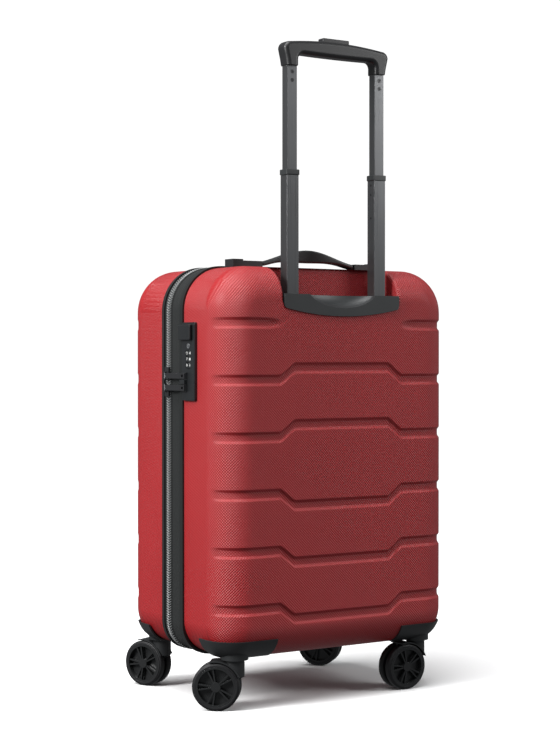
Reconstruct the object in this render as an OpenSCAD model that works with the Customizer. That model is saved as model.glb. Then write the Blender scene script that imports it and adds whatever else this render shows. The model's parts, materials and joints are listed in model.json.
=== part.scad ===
// Hard shell suitcase that stands on four twin-wheel casters, with a two-stage trolley handle.
// It opens like a book. +Z is up, X runs across the width with the lock on +X, and the trolley
// handle is on the +Y side. The origin is on the floor, under the middle of the case.

/* [Case] */
// Width over the two side walls
case_w = 350; // [300:1:430]
// Depth over both shells
case_d = 248; // [220:1:300]
// Height of the shells, without the wheels
case_h = 484; // [430:1:600]
// Depth of the front shell
front_depth = 101; // [90:1:120]
// Width of the band between the shells, with its zip and rims
band_w = 52.5; // [48:0.5:60]
// Thickness of the shells
shell_wall = 2.2; // [1.8:0.1:3]
// Radius between a face and the side walls
edge_r = 42; // [34:1:48]
// Radius of the upper corners, seen from the front
top_r = 55; // [44:1:70]
// Radius of the lower corners, seen from the front
bottom_r = 38; // [30:1:44]

/* [Grooves] */
// Height of one pressed groove
groove_h = 13; // [9:0.5:16]
// Depth of the grooves
groove_depth = 2.6; // [1.5:0.1:3]
// Distance from one groove to the next
groove_pitch = 70; // [60:1:80]
// Distance from the top of the shell to the upper edge of the first groove
groove_drop = 64.5; // [60:0.5:80]
// How far the middle of a groove is moved up or down
groove_shift = 15; // [0:1:20]

/* [Rims and zip] */
// How far the rims stand out of the shells
rim_proud = 2.5; // [1.5:0.1:3]
// Width of the front shell's rim
front_rim_w = 6; // [5:0.5:8]
// Width of the back shell's rim
back_rim_w = 7.5; // [6:0.5:9]
// Width of each half of the zip's teeth
teeth_w = 5.5; // [4:0.5:6]

/* [Trolley handle] */
// Distance between the two tubes
tube_pitch = 133.4; // [120:0.2:150]
// Width of the inner tubes
inner_w = 14; // [12:0.5:16]
// Depth of the inner tubes
inner_d = 12; // [11:0.5:14]
// How far the middle tubes stand out of the bezel, in the drawn position
middle_out = 155; // [120:1:200]
// How far the inner tubes stand out of the middle tubes, in the drawn position
inner_out = 129; // [100:1:170]
// Height of the grip, from the end of its legs to its top
grip_h = 34; // [30:1:40]
// Depth of the grip
grip_d = 21; // [19:0.5:26]

/* [Carry handle] */
// Length of the carry handle, over its end blocks
carry_l = 232; // [200:1:260]
// Height of the arched grip above the shell
carry_rise = 25.5; // [22:0.5:32]

/* [Lock] */
// Width of the lock plate
lock_w = 32; // [29:1:36]
// Height of the lock plate
lock_h = 97; // [92:1:110]
// Distance from the top of the shell to the top of the lock plate
lock_drop = 69.5; // [66:0.5:90]

/* [Casters] */
// Diameter of the wheels
wheel_d = 59.2; // [48:0.2:66]
// Width of one wheel
wheel_w = 10.3; // [8:0.1:13]
// Distance from the swivel axis to the axle
caster_trail = 22; // [18:0.5:26]
// Distance from the side wall to the swivel axis
caster_side = 35.5; // [32:0.5:44]
// Distance from the face of the shell to the swivel axis
caster_face = 32; // [28:0.5:38]

/* [Hidden] */
casters = [
    ["back_lock", 1, 1, -39],
    ["back_hinge", -1, 1, -1],
    ["front_lock", 1, -1, -65],
    ["front_hinge", -1, -1, -48],
];
wheel_sides = [["left", 1], ["right", -1]];
zip_ends = [["upper", 1], ["lower", -1]];

$fn = 48;
thin = 0.01;
over = 1;
run_fit = 0.05;
slide_gap = 0.3;
corner_steps = 8;
edge_step = 15;
shell_colour = [0.62, 0.11, 0.12];
black = [0.10, 0.10, 0.11];
charcoal = [0.20, 0.20, 0.21];
steel = [0.62, 0.63, 0.65];
lining_colour = [0.30, 0.30, 0.32];

// Heights and faces of the case
fender_t = 1.4;
tread_gap = 0.9;
turn_gap = 1;
shell_bottom = wheel_d + tread_gap + fender_t + turn_gap;
shell_top = shell_bottom + case_h;
half_w = case_w / 2;
back_y = case_d / 2;
front_seam = front_depth - back_y;
back_seam = front_seam + band_w;
front_rim_end = front_seam + front_rim_w;
back_rim_start = back_seam - back_rim_w;
tape_flat = 4.5;
zip_y = front_rim_end + tape_flat + teeth_w;
tape_back_end = zip_y + teeth_w + 1.5;
tape_proud = 1;
teeth_proud = 2.2;
band_proud = 2;
bead_proud = rim_proud + 0.7;
side_x = half_w + bead_proud;

lining_t = 1.4;

// Grooves
groove_count = floor((case_h - groove_drop - groove_h - 45) / groove_pitch) + 1;
groove_knee = 72;
groove_slant = 20;
groove_end_gap = 4;
groove_wrap = edge_r * (1 - cos(65));

// Trolley handle
tube_x = tube_pitch / 2;
tube_wall = 1.4;
middle_w = inner_w + 2 * (slide_gap + tube_wall);
middle_d = inner_d + 2 * (slide_gap + tube_wall);
fixed_w = middle_w + 2 * (slide_gap + tube_wall);
fixed_d = middle_d + 2 * (slide_gap + tube_wall);
tube_y = back_y - 20;
collar_h = 7;
collar_t = 0.8;
bezel_half = tube_x + fixed_w / 2 + 10.5;
bezel_top = shell_top - 34.5;
bezel_h = 27;
bezel_proud = 1.6;
notch_y = back_y - 37;
notch_floor = bezel_top - bezel_h + 3;
fixed_top = bezel_top - 12;
fixed_bottom = shell_bottom + edge_r * 2 / 3;
middle_top = bezel_top + middle_out;
middle_bottom = bezel_top - 262;
inner_top = middle_top + inner_out;
inner_bottom = middle_top - 290;
grip_top = inner_top + grip_h;
plug_l = 25;
rod_r = 2.5;
button_travel = 4;
button_l = 40;
button_w = 12;
bar_h = 5;
bar_top = grip_top - 9;
screw_r = 2.6;
screw_z = [8, 18.5];

// Carry handle
carry_y = back_seam + 10.5;
carry_w = 16;
carry_half = carry_l / 2;
carry_arch = 54;
stem_x = 63;
stem_r = 3;

// Lock
lock_t = 3.5;
lock_y = back_seam + 0.5 + lock_w / 2;
lock_top = shell_top - lock_drop;
lock_face = half_w + lock_t;
lock_depth = 15;
dial_r = 7.4;
dial_t = 6.6;
dial_pitch = 7.5;
dial_x = lock_face + 1.8 - dial_r;
dial_z = [for (k = [0:2]) lock_top - 38.3 - k * dial_pitch];
key_z = lock_top - 29.4;
key_r = 3.4;
button_z = lock_top - 12.5;
release_travel = 3.5;
pull_z = [lock_top - 66.5, lock_top - 81.5];
pull_t = 2;
pull_h = 7;
pull_x = half_w + 7;
pull_l = lock_y - lock_w / 2 - zip_y + 13;

// Casters
hub_z = wheel_d / 2;
web_t = 4.6;
wheel_gap = 0.6;
axle_r = 2.5;
kingpin_r = 4;
stem_block_r = 12;
stem_block_top = shell_bottom + 5.5;
housing_r = 17;
housing_top = shell_bottom + 18;
kingpin_top = shell_bottom + 15;
rim_r = wheel_d / 2 - 5.1;
guard_t = 2.2;
skin_gap = 0.05;
guard_l = 80;
guard_d = 60;
guard_h = 25;

// Rounded outline of the case in the XZ plane, moved inwards by inset
function arc(cx, cz, r, from) =
    [for (k = [0:corner_steps]) [cx + r * cos(from + 90 * k / corner_steps),
                                 cz + r * sin(from + 90 * k / corner_steps)]];
function case_outline(inset) =
    let (w = half_w - inset, t = shell_top - inset, b = shell_bottom + inset,
         rt = max(top_r - inset, 0.5), rb = max(bottom_r - inset, 0.5))
    concat(arc(w - rt, t - rt, rt, 0), arc(rt - w, t - rt, rt, 90),
           arc(rb - w, b + rb, rb, 180), arc(w - rb, b + rb, rb, 270));
function rounded_box_points(w, h, r) =
    concat(arc(w / 2 - r, h / 2 - r, r, 0), arc(r - w / 2, h / 2 - r, r, 90),
           arc(r - w / 2, r - h / 2, r, 180), arc(w / 2 - r, r - h / 2, r, 270));

// A flat outline in XZ given a thickness along Y, from y0 to y1
module slab(points, y0, y1) {
    translate([0, y1, 0]) rotate([90, 0, 0]) linear_extrude(y1 - y0) polygon(points);
}

// A flat outline in YZ given a thickness along X, from x0 to x1
module side_plate(points, x0, x1) {
    translate([x0, 0, 0]) rotate([90, 0, 90]) linear_extrude(x1 - x0) polygon(points);
}

// A ring that follows the outline of the case
module outline_ring(y0, y1, outer_inset, inner_inset) {
    difference() {
        slab(case_outline(outer_inset), y0, y1);
        slab(case_outline(inner_inset), y0 - over, y1 + over);
    }
}

// A rounded solid from the seam to the face, moved inwards by inset
module tray(inset, seam) {
    r = edge_r - inset;
    face = back_y - inset;
    hull() {
        slab(case_outline(inset), seam, seam + thin);
        for (a = [0:edge_step:90])
            slab(case_outline(inset + r * (1 - cos(a))), face - r * (1 - sin(a)) - thin,
                 face - r * (1 - sin(a)));
    }
}

// Middle line of groove number k, as points in XZ from the left to the right
function groove_z(k) = shell_top - groove_drop - groove_h / 2 - k * groove_pitch;
function groove_points(k) =
    let (z = groove_z(k), dz = k < groove_count / 2 ? groove_shift : -groove_shift,
         far = half_w + edge_r, knee = groove_knee, bend = groove_knee + groove_slant)
    [[-far, z], [-bend, z], [-knee, z + dz], [knee, z + dz], [bend, z], [far, z]];

module groove_line(points, width) {
    for (k = [0:len(points) - 2])
        hull() {
            translate(points[k]) circle(d = width, $fn = 16);
            translate(points[k + 1]) circle(d = width, $fn = 16);
        }
}

// The grooves as prisms that reach round the rounded edge of the face
module groove_prisms(width, interrupted) {
    translate([0, back_y + edge_r, 0]) rotate([90, 0, 0]) linear_extrude(edge_r + groove_wrap)
        difference() {
            union() for (k = [0:groove_count - 1]) groove_line(groove_points(k), width);
            if (interrupted)
                translate([-bezel_half - groove_end_gap, groove_z(0) - groove_h])
                    square([2 * (bezel_half + groove_end_gap), case_h]);
        }
}

// One shell, as if it were the back one: a tray with grooves pressed into it
module pressed_shell(seam, notched) {
    difference() {
        pressed_solid(0, seam, groove_h, notched);
        pressed_solid(shell_wall, seam - over, groove_h + 2 * shell_wall, notched);
        caster_places(housing_r + 2 * skin_gap);
    }
}

module pressed_solid(inset, seam, width, notched) {
    difference() {
        tray(inset, seam);
        difference() {
            groove_prisms(width, notched);
            tray(inset + groove_depth, seam - 2 * over);
        }
        if (notched) trolley_notch(inset);
    }
}

// Holes for the two caster housings of a shell
module caster_places(r) {
    for (side = [-1, 1])
        translate([side * (half_w - caster_side), back_y - caster_face, shell_bottom - over])
            cylinder(r = r, h = housing_top - shell_bottom + 2 * over);
}

// Recess that the trolley tubes rise from, open to the back and to the top
module trolley_notch(grow) {
    translate([-bezel_half - grow, notch_y - grow, notch_floor - grow])
        cube([2 * (bezel_half + grow), case_d, case_h]);
}

module back_shell() {
    color(shell_colour)
    difference() {
        pressed_shell(back_seam, true);
        for (side = [-1, 1])
            translate([side * tube_x, tube_y, notch_floor])
                cube([fixed_w + 2 * slide_gap, fixed_d + 2 * slide_gap, 4 * shell_wall],
                     center = true);
        lock_window();
        carry_stem_holes();
    }
}

module lock_window() {
    translate([half_w - lock_depth, lock_y - lock_w / 2 + 2, lock_top - lock_h + 4])
        cube([lock_depth + over, lock_w - 4, lock_h - 8]);
}

module carry_stem_holes() {
    for (side = [-1, 1])
        translate([side * stem_x, carry_y, shell_top - 3 * shell_wall])
            cylinder(r = stem_r + 1.2, h = 4 * shell_wall);
}

module front_shell() {
    color(shell_colour) mirror([0, 1, 0]) pressed_shell(-front_seam, false);
}

module back_rim() {
    color(black) {
        outline_ring(back_rim_start, back_rim_start + back_rim_w / 2, -bead_proud, rim_proud);
        outline_ring(back_rim_start + back_rim_w / 2, back_seam, -rim_proud / 2, rim_proud);
    }
}

module front_rim() {
    color(black) outline_ring(front_seam, front_rim_end, -rim_proud, rim_proud);
}

module expansion_band() {
    color(charcoal) outline_ring(tape_back_end, back_rim_start, -band_proud, rim_proud / 2);
}

module zip_tape_back() {
    color(charcoal) {
        outline_ring(zip_y + run_fit, tape_back_end, -tape_proud, tape_proud);
        outline_ring(zip_y + run_fit, zip_y + teeth_w, -teeth_proud, -tape_proud);
    }
}

module zip_tape_front() {
    color(charcoal) {
        outline_ring(front_rim_end, zip_y - run_fit, -tape_proud, tape_proud);
        outline_ring(zip_y - teeth_w, zip_y - run_fit, -teeth_proud, -tape_proud);
    }
}

// Fabric strip along the side away from the lock, on which the lid turns
module hinge_tape() {
    color(charcoal)
    translate([-side_x - 1.4, zip_y, shell_bottom + bottom_r + 4])
        cube([1.2, back_rim_start + back_rim_w / 2 - zip_y, case_h - top_r - bottom_r - 8]);
}

// Everything lower than the tops of the caster housings, which the panels stay above
module below_housings() {
    translate([-half_w, -back_y, 0]) cube([case_w, case_d, housing_top + over]);
}

module back_lining() {
    panel_y = notch_y - shell_wall - 2;
    color(lining_colour)
    difference() {
        slab(case_outline(shell_wall + groove_depth + 1), panel_y, panel_y + lining_t);
        below_housings();
    }
}

module front_lining() {
    color(lining_colour)
    slab(case_outline(edge_r - 4), -back_y + shell_wall + groove_depth + 0.6,
         -back_y + shell_wall + groove_depth + 0.6 + lining_t);
}

module lid_pocket() {
    pocket_y = -back_y + 22;
    pocket_h = case_h * 0.58;
    color(lining_colour)
    difference() {
        slab(case_outline(edge_r - 29), pocket_y, pocket_y + lining_t);
        below_housings();
        translate([-half_w, pocket_y - over, shell_bottom + pocket_h]) cube([case_w, 5, case_h]);
    }
}

// Two crossed elastic straps that meet at a buckle, over the packing space of the back half
module packing_straps() {
    strap_y = back_seam - 3;
    strap_w = 24;
    strap_t = 1.4;
    buckle_w = 52;
    mid_z = (shell_top + shell_bottom) / 2;
    reach_x = half_w - 22;
    reach_z = case_h / 2 - 62;
    angle = atan2(reach_z, reach_x);
    length = norm([reach_x, reach_z]);
    color(black)
    translate([0, strap_y, mid_z]) {
        for (side = [-1, 1], end = [-1, 1])
            mirror([side < 0 ? 1 : 0, 0, 0]) mirror([0, 0, end < 0 ? 1 : 0])
                rotate([0, -angle, 0]) translate([buckle_w / 2, 0, -strap_w / 2])
                    cube([length - buckle_w / 2, strap_t, strap_w]);
        rotate([-90, 0, 0]) translate([0, 0, -1.5])
            linear_extrude(4) polygon(rounded_box_points(buckle_w, 44, 8));
    }
}

// Bezel round the tubes: its lower edge is an arc, and its middle dips to a finger pocket
module trolley_bezel() {
    low = bezel_top - bezel_h;
    end_low = low + 9;
    arc_n = 12;
    half = bezel_half - slide_gap;
    lower_edge = [for (k = [0:arc_n]) let (u = 2 * k / arc_n - 1)
                  [u * half * 0.95, end_low - 9 * (1 - u * u)]];
    body = concat(lower_edge, [[half, end_low + 4], [half, bezel_top], [-half, bezel_top],
                               [-half, end_low + 4]]);
    flange = concat(lower_edge, [[half, end_low + 4], [half, bezel_top - 8],
                                 [half * 0.62, bezel_top - 9], [half * 0.5, bezel_top - 15],
                                 [-half * 0.5, bezel_top - 15], [-half * 0.62, bezel_top - 9],
                                 [-half, bezel_top - 8], [-half, end_low + 4]]);
    color(black)
    difference() {
        union() {
            intersection() {
                slab(body, notch_y + slide_gap, back_y);
                translate([-half, notch_y, notch_floor]) cube([2 * half, case_d, bezel_h]);
            }
            slab(flange, back_y, back_y + bezel_proud);
        }
        for (side = [-1, 1]) {
            translate([side * tube_x - middle_w / 2 - collar_t - slide_gap,
                       tube_y - middle_d / 2 - collar_t - slide_gap, fixed_top])
                cube([middle_w + 2 * (collar_t + slide_gap), middle_d + 2 * (collar_t + slide_gap),
                      bezel_h]);
            translate([side * tube_x - fixed_w / 2, tube_y - fixed_d / 2, notch_floor - over])
                cube([fixed_w, fixed_d, fixed_top - notch_floor + over + thin]);
        }
        translate([0, tube_y + 9, bezel_top]) rotate([90, 0, 0])
            linear_extrude(22) polygon([[-48, over], [-44, -9], [-36, -14], [36, -14],
                                        [44, -9], [48, over]]);
        translate([-43.5, tube_y - 2, bezel_top - 14]) cube([87, back_y - tube_y + 4, bezel_h]);
    }
}

// A pair of rectangular tubes, one on each side
module tube_pair(w, d, wall, low, high) {
    for (side = [-1, 1])
        translate([side * tube_x, tube_y, low])
            difference() {
                translate([-w / 2, -d / 2, 0]) cube([w, d, high - low]);
                translate([wall - w / 2, wall - d / 2, -over])
                    cube([w - 2 * wall, d - 2 * wall, high - low + 2 * over]);
            }
}

module fixed_tubes() {
    color(charcoal) tube_pair(fixed_w, fixed_d, tube_wall, fixed_bottom, fixed_top);
}

// Bracket that holds the lower ends of the fixed tubes
module trolley_base() {
    foot_h = 22;
    color(black)
    difference() {
        translate([-tube_x - fixed_w / 2 - 4, tube_y - fixed_d / 2 - 3, fixed_bottom - 5])
            cube([tube_pitch + fixed_w + 8, fixed_d + 4, foot_h]);
        for (side = [-1, 1])
            translate([side * tube_x - fixed_w / 2, tube_y - fixed_d / 2, fixed_bottom])
                cube([fixed_w, fixed_d, foot_h]);
        translate([fixed_w / 2 + 4 - tube_x, tube_y - fixed_d, fixed_bottom + 4])
            cube([tube_pitch - fixed_w - 8, 2 * fixed_d, foot_h]);
    }
}

module middle_tubes() {
    color(charcoal)
    tube_pair(middle_w, middle_d, tube_wall, middle_bottom, middle_top - collar_h);
}

module middle_collars() {
    color(black)
    tube_pair(middle_w + 2 * collar_t, middle_d + 2 * collar_t, tube_wall + collar_t,
              middle_top - collar_h, middle_top);
}

module inner_tubes() {
    color(charcoal)
    difference() {
        tube_pair(inner_w, inner_d, 1.3, inner_bottom, inner_top);
        for (side = [-1, 1], z = screw_z)
            translate([side * tube_x, tube_y, inner_top - z]) rotate([-90, 0, 0])
                cylinder(r = screw_r + 0.1, h = inner_d);
    }
}

// Grip with its two legs, and the plugs that are screwed into the inner tubes
module grip_body() {
    half = tube_x + 19.3;
    z = inner_top;
    side = [[tube_x - 10, z], [tube_x - 12, z + 8], [tube_x - 18, z + 14], [30, z + 13.5],
            [20, z + 12], [0, z + 11.5]];
    top = [[0, grip_top], [60, grip_top - 0.5], [tube_x + 8, grip_top - 2],
           [half - 3, grip_top - 5], [half, grip_top - 9], [half - 1, z + 17],
           [tube_x + 10.5, z]];
    right = concat(top, side);
    left = [for (k = [len(right) - 1:-1:0]) [-right[k][0], right[k][1]]];
    color(black)
    difference() {
        union() {
            slab(concat(right, left), tube_y - grip_d / 2, tube_y + grip_d / 2);
            for (s = [-1, 1])
                translate([s * tube_x, tube_y, z - plug_l / 2])
                    cube([inner_w - 2.8, inner_d - 2.8, plug_l], center = true);
        }
        translate([-tube_x - 4, tube_y - 4, bar_top - bar_h - button_travel - 1])
            cube([tube_pitch + 8, 8, bar_h + button_travel + 1.5]);
        translate([-button_l / 2 - slide_gap, tube_y - button_w / 2 - slide_gap,
                   bar_top - button_travel - 0.5])
            cube([button_l + 2 * slide_gap, button_w + 2 * slide_gap, grip_h]);
        for (s = [-1, 1]) {
            translate([s * tube_x, tube_y, z - plug_l - over])
                cylinder(r = rod_r + 0.6, h = plug_l + grip_h / 2);
            for (dz = screw_z)
                translate([s * tube_x, tube_y, z - dz]) rotate([-90, 0, 0])
                    cylinder(r = 1.2, h = inner_d);
        }
    }
}

module grip_button() {
    color(charcoal) {
        translate([-button_l / 2, tube_y - button_w / 2, bar_top])
            cube([button_l, button_w, grip_top + 4.5 - bar_top]);
        translate([-tube_x - 3.5, tube_y - 3.5, bar_top - bar_h]) cube([tube_pitch + 7, 7, bar_h]);
    }
}

// Rods inside the inner tubes, with a latch foot at the lower end of each
module push_rods() {
    foot_h = 16;
    color(steel)
    for (side = [-1, 1])
        translate([side * tube_x, tube_y, inner_bottom + 12]) {
            cylinder(r = rod_r, h = bar_top - bar_h - inner_bottom - 12);
            translate([1.6 - inner_w / 2 + 0.2, -3.5, -foot_h / 2])
                cube([inner_w - 3.6, 7, foot_h]);
        }
}

module grip_screws() {
    color(steel)
    for (side = [-1, 1], dz = screw_z)
        translate([side * tube_x, tube_y + inner_d / 2, inner_top - dz]) rotate([90, 0, 0])
            difference() {
                union() {
                    translate([0, 0, 0.1]) cylinder(r = screw_r, h = 1.2);
                    translate([0, 0, 0.1]) cylinder(r = 1.15, h = 2.6);
                }
                cube([3.2, 0.7, 1.4], center = true);
                cube([0.7, 3.2, 1.4], center = true);
            }
}

// The two end blocks and the ramps that lead to the arched grip
module carry_handle_base() {
    ramp = [[carry_arch + 18, shell_top], [carry_half, shell_top], [carry_half, shell_top + 8],
            [carry_half - 4, shell_top + 11], [carry_half - 12, shell_top + 11],
            [carry_half - 17, shell_top + 8.5], [carry_arch + 18, shell_top + 4]];
    left = [for (p = ramp) [-p[0], p[1]]];
    color(black)
    difference() {
        union() {
            slab(ramp, carry_y - carry_w / 2 - 2, carry_y + carry_w / 2 + 2);
            slab(left, carry_y - carry_w / 2 - 2, carry_y + carry_w / 2 + 2);
            for (side = [-1, 1])
                translate([side * stem_x - 10, carry_y - carry_w / 2, shell_top])
                    cube([20, carry_w, 1.4]);
        }
        carry_stem_holes();
    }
}

// Arched grip. Its two stems pass through the shell, so that it can lift a little
module carry_handle_grip() {
    foot = shell_top + 1.7;
    peak = shell_top + carry_rise;
    arch_n = 10;
    outer = [for (k = [0:arch_n]) let (u = k / arch_n)
             [70 - 140 * u, peak - 14 * pow(abs(2 * u - 1), 3)]];
    inner = [for (k = [0:arch_n]) let (u = k / arch_n)
             [carry_arch * (2 * u - 1), peak - 14 - 3 * pow(abs(2 * u - 1), 4)]];
    color(black) {
        slab(concat([[54, foot], [71, foot]], outer, [[-71, foot], [-54, foot]], inner),
             carry_y - carry_w / 2, carry_y + carry_w / 2);
        for (side = [-1, 1])
            translate([side * stem_x, carry_y, shell_top - 14])
                cylinder(r = stem_r, h = foot - shell_top + 14);
        for (side = [-1, 1])
            translate([side * stem_x, carry_y, shell_top - 16]) cylinder(r = stem_r + 3, h = 2);
    }
}

// Lock: a plate on the side wall and a case behind it, with room for the moving pieces
module lock_case() {
    mid_z = lock_top - lock_h / 2;
    color(black) {
        difference() {
            union() {
                translate([0, lock_y, mid_z])
                    side_plate(rounded_box_points(lock_w, lock_h, 3), half_w, lock_face);
                translate([half_w - lock_depth + 0.2, lock_y - lock_w / 2 + 2.2,
                           lock_top - lock_h + 4.2])
                    cube([lock_depth, lock_w - 4.4, lock_h - 8.4]);
                translate([lock_face - over, lock_y + lock_w / 2 - 4.5, lock_top - lock_h + 3])
                    cube([1.8, 4, lock_h - 6]);
                translate([lock_face - over, lock_y - lock_w / 2 + 2, pull_z[1] - pull_h / 2 - 1])
                    cube([over + pull_x - pull_t / 2 - slide_gap - lock_face, 12,
                          pull_z[0] - pull_z[1] + pull_h + 2]);
                translate([lock_face - over, lock_y - lock_w / 2 + 2,
                           (pull_z[0] + pull_z[1]) / 2 - 2.5])
                    cube([over + pull_x + 1.5 - lock_face, 12, 5]);
            }
            translate([dial_x, lock_y, dial_z[2] - dial_t / 2 - 0.4])
                cylinder(r = dial_r + 0.6, h = dial_z[0] - dial_z[2] + dial_t + 0.8);
            translate([half_w - 8, lock_y, key_z]) rotate([0, 90, 0])
                cylinder(r = key_r + run_fit, h = 20);
            translate([half_w - 6, lock_y - 4.4, button_z - 4.4 - release_travel])
                cube([20, 8.8, 8.8 + release_travel]);
        }
        translate([dial_x, lock_y, dial_z[2] - dial_t / 2 - 1])
            cylinder(r = 1.4, h = dial_z[0] - dial_z[2] + dial_t + 2);
    }
}

module lock_button() {
    color(charcoal) {
        translate([lock_face + 0.4, lock_y - 19, button_z - 9.5]) cube([4.2, 29, 19]);
        translate([half_w - 4, lock_y - 4, button_z - 4]) cube([lock_t + 4.4, 8, 8]);
    }
}

module lock_dial(k) {
    color(charcoal)
    translate([dial_x, lock_y, dial_z[k] - dial_t / 2])
        difference() {
            cylinder(r = dial_r, h = dial_t);
            translate([0, 0, -over]) cylinder(r = 1.4 + run_fit, h = dial_t + 2 * over);
            for (a = [18:36:359])
                rotate(a) translate([dial_r + 0.5, 0, -over])
                    cylinder(r = 1.1, h = dial_t + 2 * over, $fn = 24);
        }
}

module key_cylinder() {
    color(steel)
    translate([half_w - 7.5, lock_y, key_z]) rotate([0, 90, 0])
        difference() {
            cylinder(r = key_r, h = lock_t + 8);
            translate([-2.2, -0.5, lock_t + 5.5]) cube([4.4, 1, 4]);
        }
}

// Zip slider: a body over the teeth, with two ears and the pin of its pull
module zip_slider(upper) {
    k = upper ? 0 : 1;
    dir = upper ? 1 : -1;
    body_z = pull_z[k] + dir * 4;
    top_x = pull_x - 2.2;
    color(charcoal) {
        translate([half_w + teeth_proud + 0.4, zip_y - 5, body_z - 7])
            cube([top_x - half_w - teeth_proud - 0.4, 10, 14]);
        for (side = [-1, 1])
            translate([top_x, zip_y - 2, pull_z[k] + side * (pull_h / 2 + 1) - 0.7])
                cube([3.6, 4, 1.4]);
        translate([pull_x, zip_y, pull_z[k] - pull_h / 2 - 1]) cylinder(r = 0.8, h = pull_h + 2);
    }
}

module zip_pull(upper) {
    k = upper ? 0 : 1;
    color(black)
    translate([pull_x, zip_y, pull_z[k] - pull_h / 2])
        difference() {
            union() {
                cylinder(r = 2, h = pull_h);
                translate([-pull_t / 2, 0, 0]) cube([pull_t, pull_l, pull_h]);
            }
            translate([0, 0, -over]) cylinder(r = 0.85, h = pull_h + 2 * over);
            translate([-pull_t, pull_l - 8, 2]) cube([2 * pull_t, 5, pull_h - 4]);
        }
}

// One lower corner of the case as a solid, moved inwards by inset and grown inside by reach
module corner_solid(inset, reach) {
    r = edge_r - inset;
    face = back_y - inset;
    in_x = half_w - guard_l - reach;
    hull() {
        slab(corner_points(inset, in_x, reach), back_y - guard_d - reach,
             back_y - guard_d - reach + thin);
        for (a = [0:edge_step:90])
            slab(corner_points(inset + r * (1 - cos(a)), in_x, reach),
                 face - r * (1 - sin(a)) - thin, face - r * (1 - sin(a)));
    }
}

function corner_points(inset, in_x, reach) =
    let (w = half_w - inset, b = shell_bottom + inset, rb = max(bottom_r - inset, 0.5))
    concat(arc(w - rb, b + rb, rb, 270),
           [[w, shell_bottom + 2 * edge_r + reach], [in_x, shell_bottom + 2 * edge_r + reach],
            [in_x, b]]);

// Two corner guards, each with the housing that its caster turns in
module corner_guard_pair() {
    color(black)
    for (side = [0, 1]) mirror([side, 0, 0])
        difference() {
            union() {
                difference() {
                    corner_solid(-guard_t, 0);
                    corner_solid(-skin_gap, over);
                    translate([0, 0, shell_bottom + guard_h]) cube([case_w, case_d, case_h]);
                    cube([case_w, case_d, shell_bottom + 1.5]);
                }
                translate([half_w - caster_side, back_y - caster_face, shell_bottom])
                    cylinder(r = housing_r, h = housing_top - shell_bottom);
            }
            translate([half_w - caster_side, back_y - caster_face, shell_bottom - over])
                cylinder(r = stem_block_r + 0.4, h = stem_block_top - shell_bottom + over + 0.4);
            translate([half_w - caster_side, back_y - caster_face, shell_bottom])
                cylinder(r = kingpin_r + run_fit, h = kingpin_top + 0.5 - shell_bottom);
        }
}

module corner_guards_back() { corner_guard_pair(); }

module corner_guards_front() { mirror([0, 1, 0]) corner_guard_pair(); }

// Puts a caster piece, drawn with its swivel axis on Z and trailing along X, in its place
module at_caster(c) {
    translate([c[1] * (half_w - caster_side), c[2] * (back_y - caster_face), 0])
        rotate(c[3]) children();
}

module caster_fork(c) {
    clear_r = wheel_d / 2 + tread_gap;
    span = wheel_w + wheel_gap + web_t / 2;
    web = [[-stem_block_r, hub_z + 12], [-stem_block_r, hub_z + 30], [stem_block_r, hub_z + 30],
           [caster_trail + 5, hub_z + 4], [caster_trail + 5, hub_z - 5],
           [caster_trail - 5, hub_z - 5]];
    color(black)
    at_caster(c)
    difference() {
        union() {
            difference() {
                union() {
                    translate([0, 0, hub_z + 12])
                        cylinder(r = stem_block_r, h = stem_block_top - hub_z - 12);
                    intersection() {
                        translate([caster_trail, span, hub_z]) rotate([90, 0, 0])
                            cylinder(r = clear_r + fender_t, h = 2 * span);
                        translate([-stem_block_r - 4, -span, hub_z + 12])
                            cube([caster_trail + stem_block_r + 12, 2 * span, wheel_d]);
                    }
                }
                for (side = [-1, 1])
                    translate([caster_trail, side * (web_t / 2 + span / 2 + 5), hub_z])
                        rotate([90, 0, 0])
                            cylinder(r = clear_r, h = span + 10, center = true);
            }
            slab(web, -web_t / 2, web_t / 2);
            translate([0, 0, stem_block_top - 3])
                cylinder(r = kingpin_r, h = kingpin_top - stem_block_top + 3);
        }
        translate([caster_trail, over + web_t, hub_z]) rotate([90, 0, 0])
            cylinder(r = axle_r + 0.02, h = 2 * (over + web_t));
    }
}

module caster_axle(c) {
    half = web_t / 2 + wheel_gap + wheel_w;
    color(steel)
    at_caster(c)
    translate([caster_trail, half - 1, hub_z]) rotate([90, 0, 0])
        cylinder(r = axle_r, h = 2 * half - 2);
}

// Places a wheel piece, drawn round the Z axis from 0 at its inner face, on one end of the axle
module at_wheel(c, s) {
    at_caster(c)
    translate([caster_trail, s * (web_t / 2 + wheel_gap), hub_z]) rotate([-90 * s, 0, 0])
        children();
}

module rim(c, s) {
    ring_t = 2.2;
    hub_r = 6;
    color(charcoal)
    at_wheel(c, s)
    difference() {
        union() {
            rotate_extrude() translate([rim_r - ring_t, 0]) square([ring_t, wheel_w]);
            cylinder(r = hub_r, h = wheel_w - 0.4);
            for (a = [0:72:359], turn = [-9, 9])
                rotate(a + turn) translate([hub_r - 1.5, -0.9, wheel_w - 5])
                    cube([rim_r - ring_t - hub_r + 2, 1.8, 4]);
        }
        translate([0, 0, -over]) cylinder(r = axle_r + run_fit, h = over + wheel_w - 0.7);
    }
}

module tyre(c, s) {
    r = wheel_d / 2;
    profile = [[rim_r, 0], [r - 1.6, 0], [r, 1.6], [r, wheel_w - 2.6], [r - 1.2, wheel_w - 1.2],
               [r - 2.2, wheel_w - 1], [r - 2.6, wheel_w], [rim_r, wheel_w]];
    color(black) at_wheel(c, s) rotate_extrude() polygon(profile);
}

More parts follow.
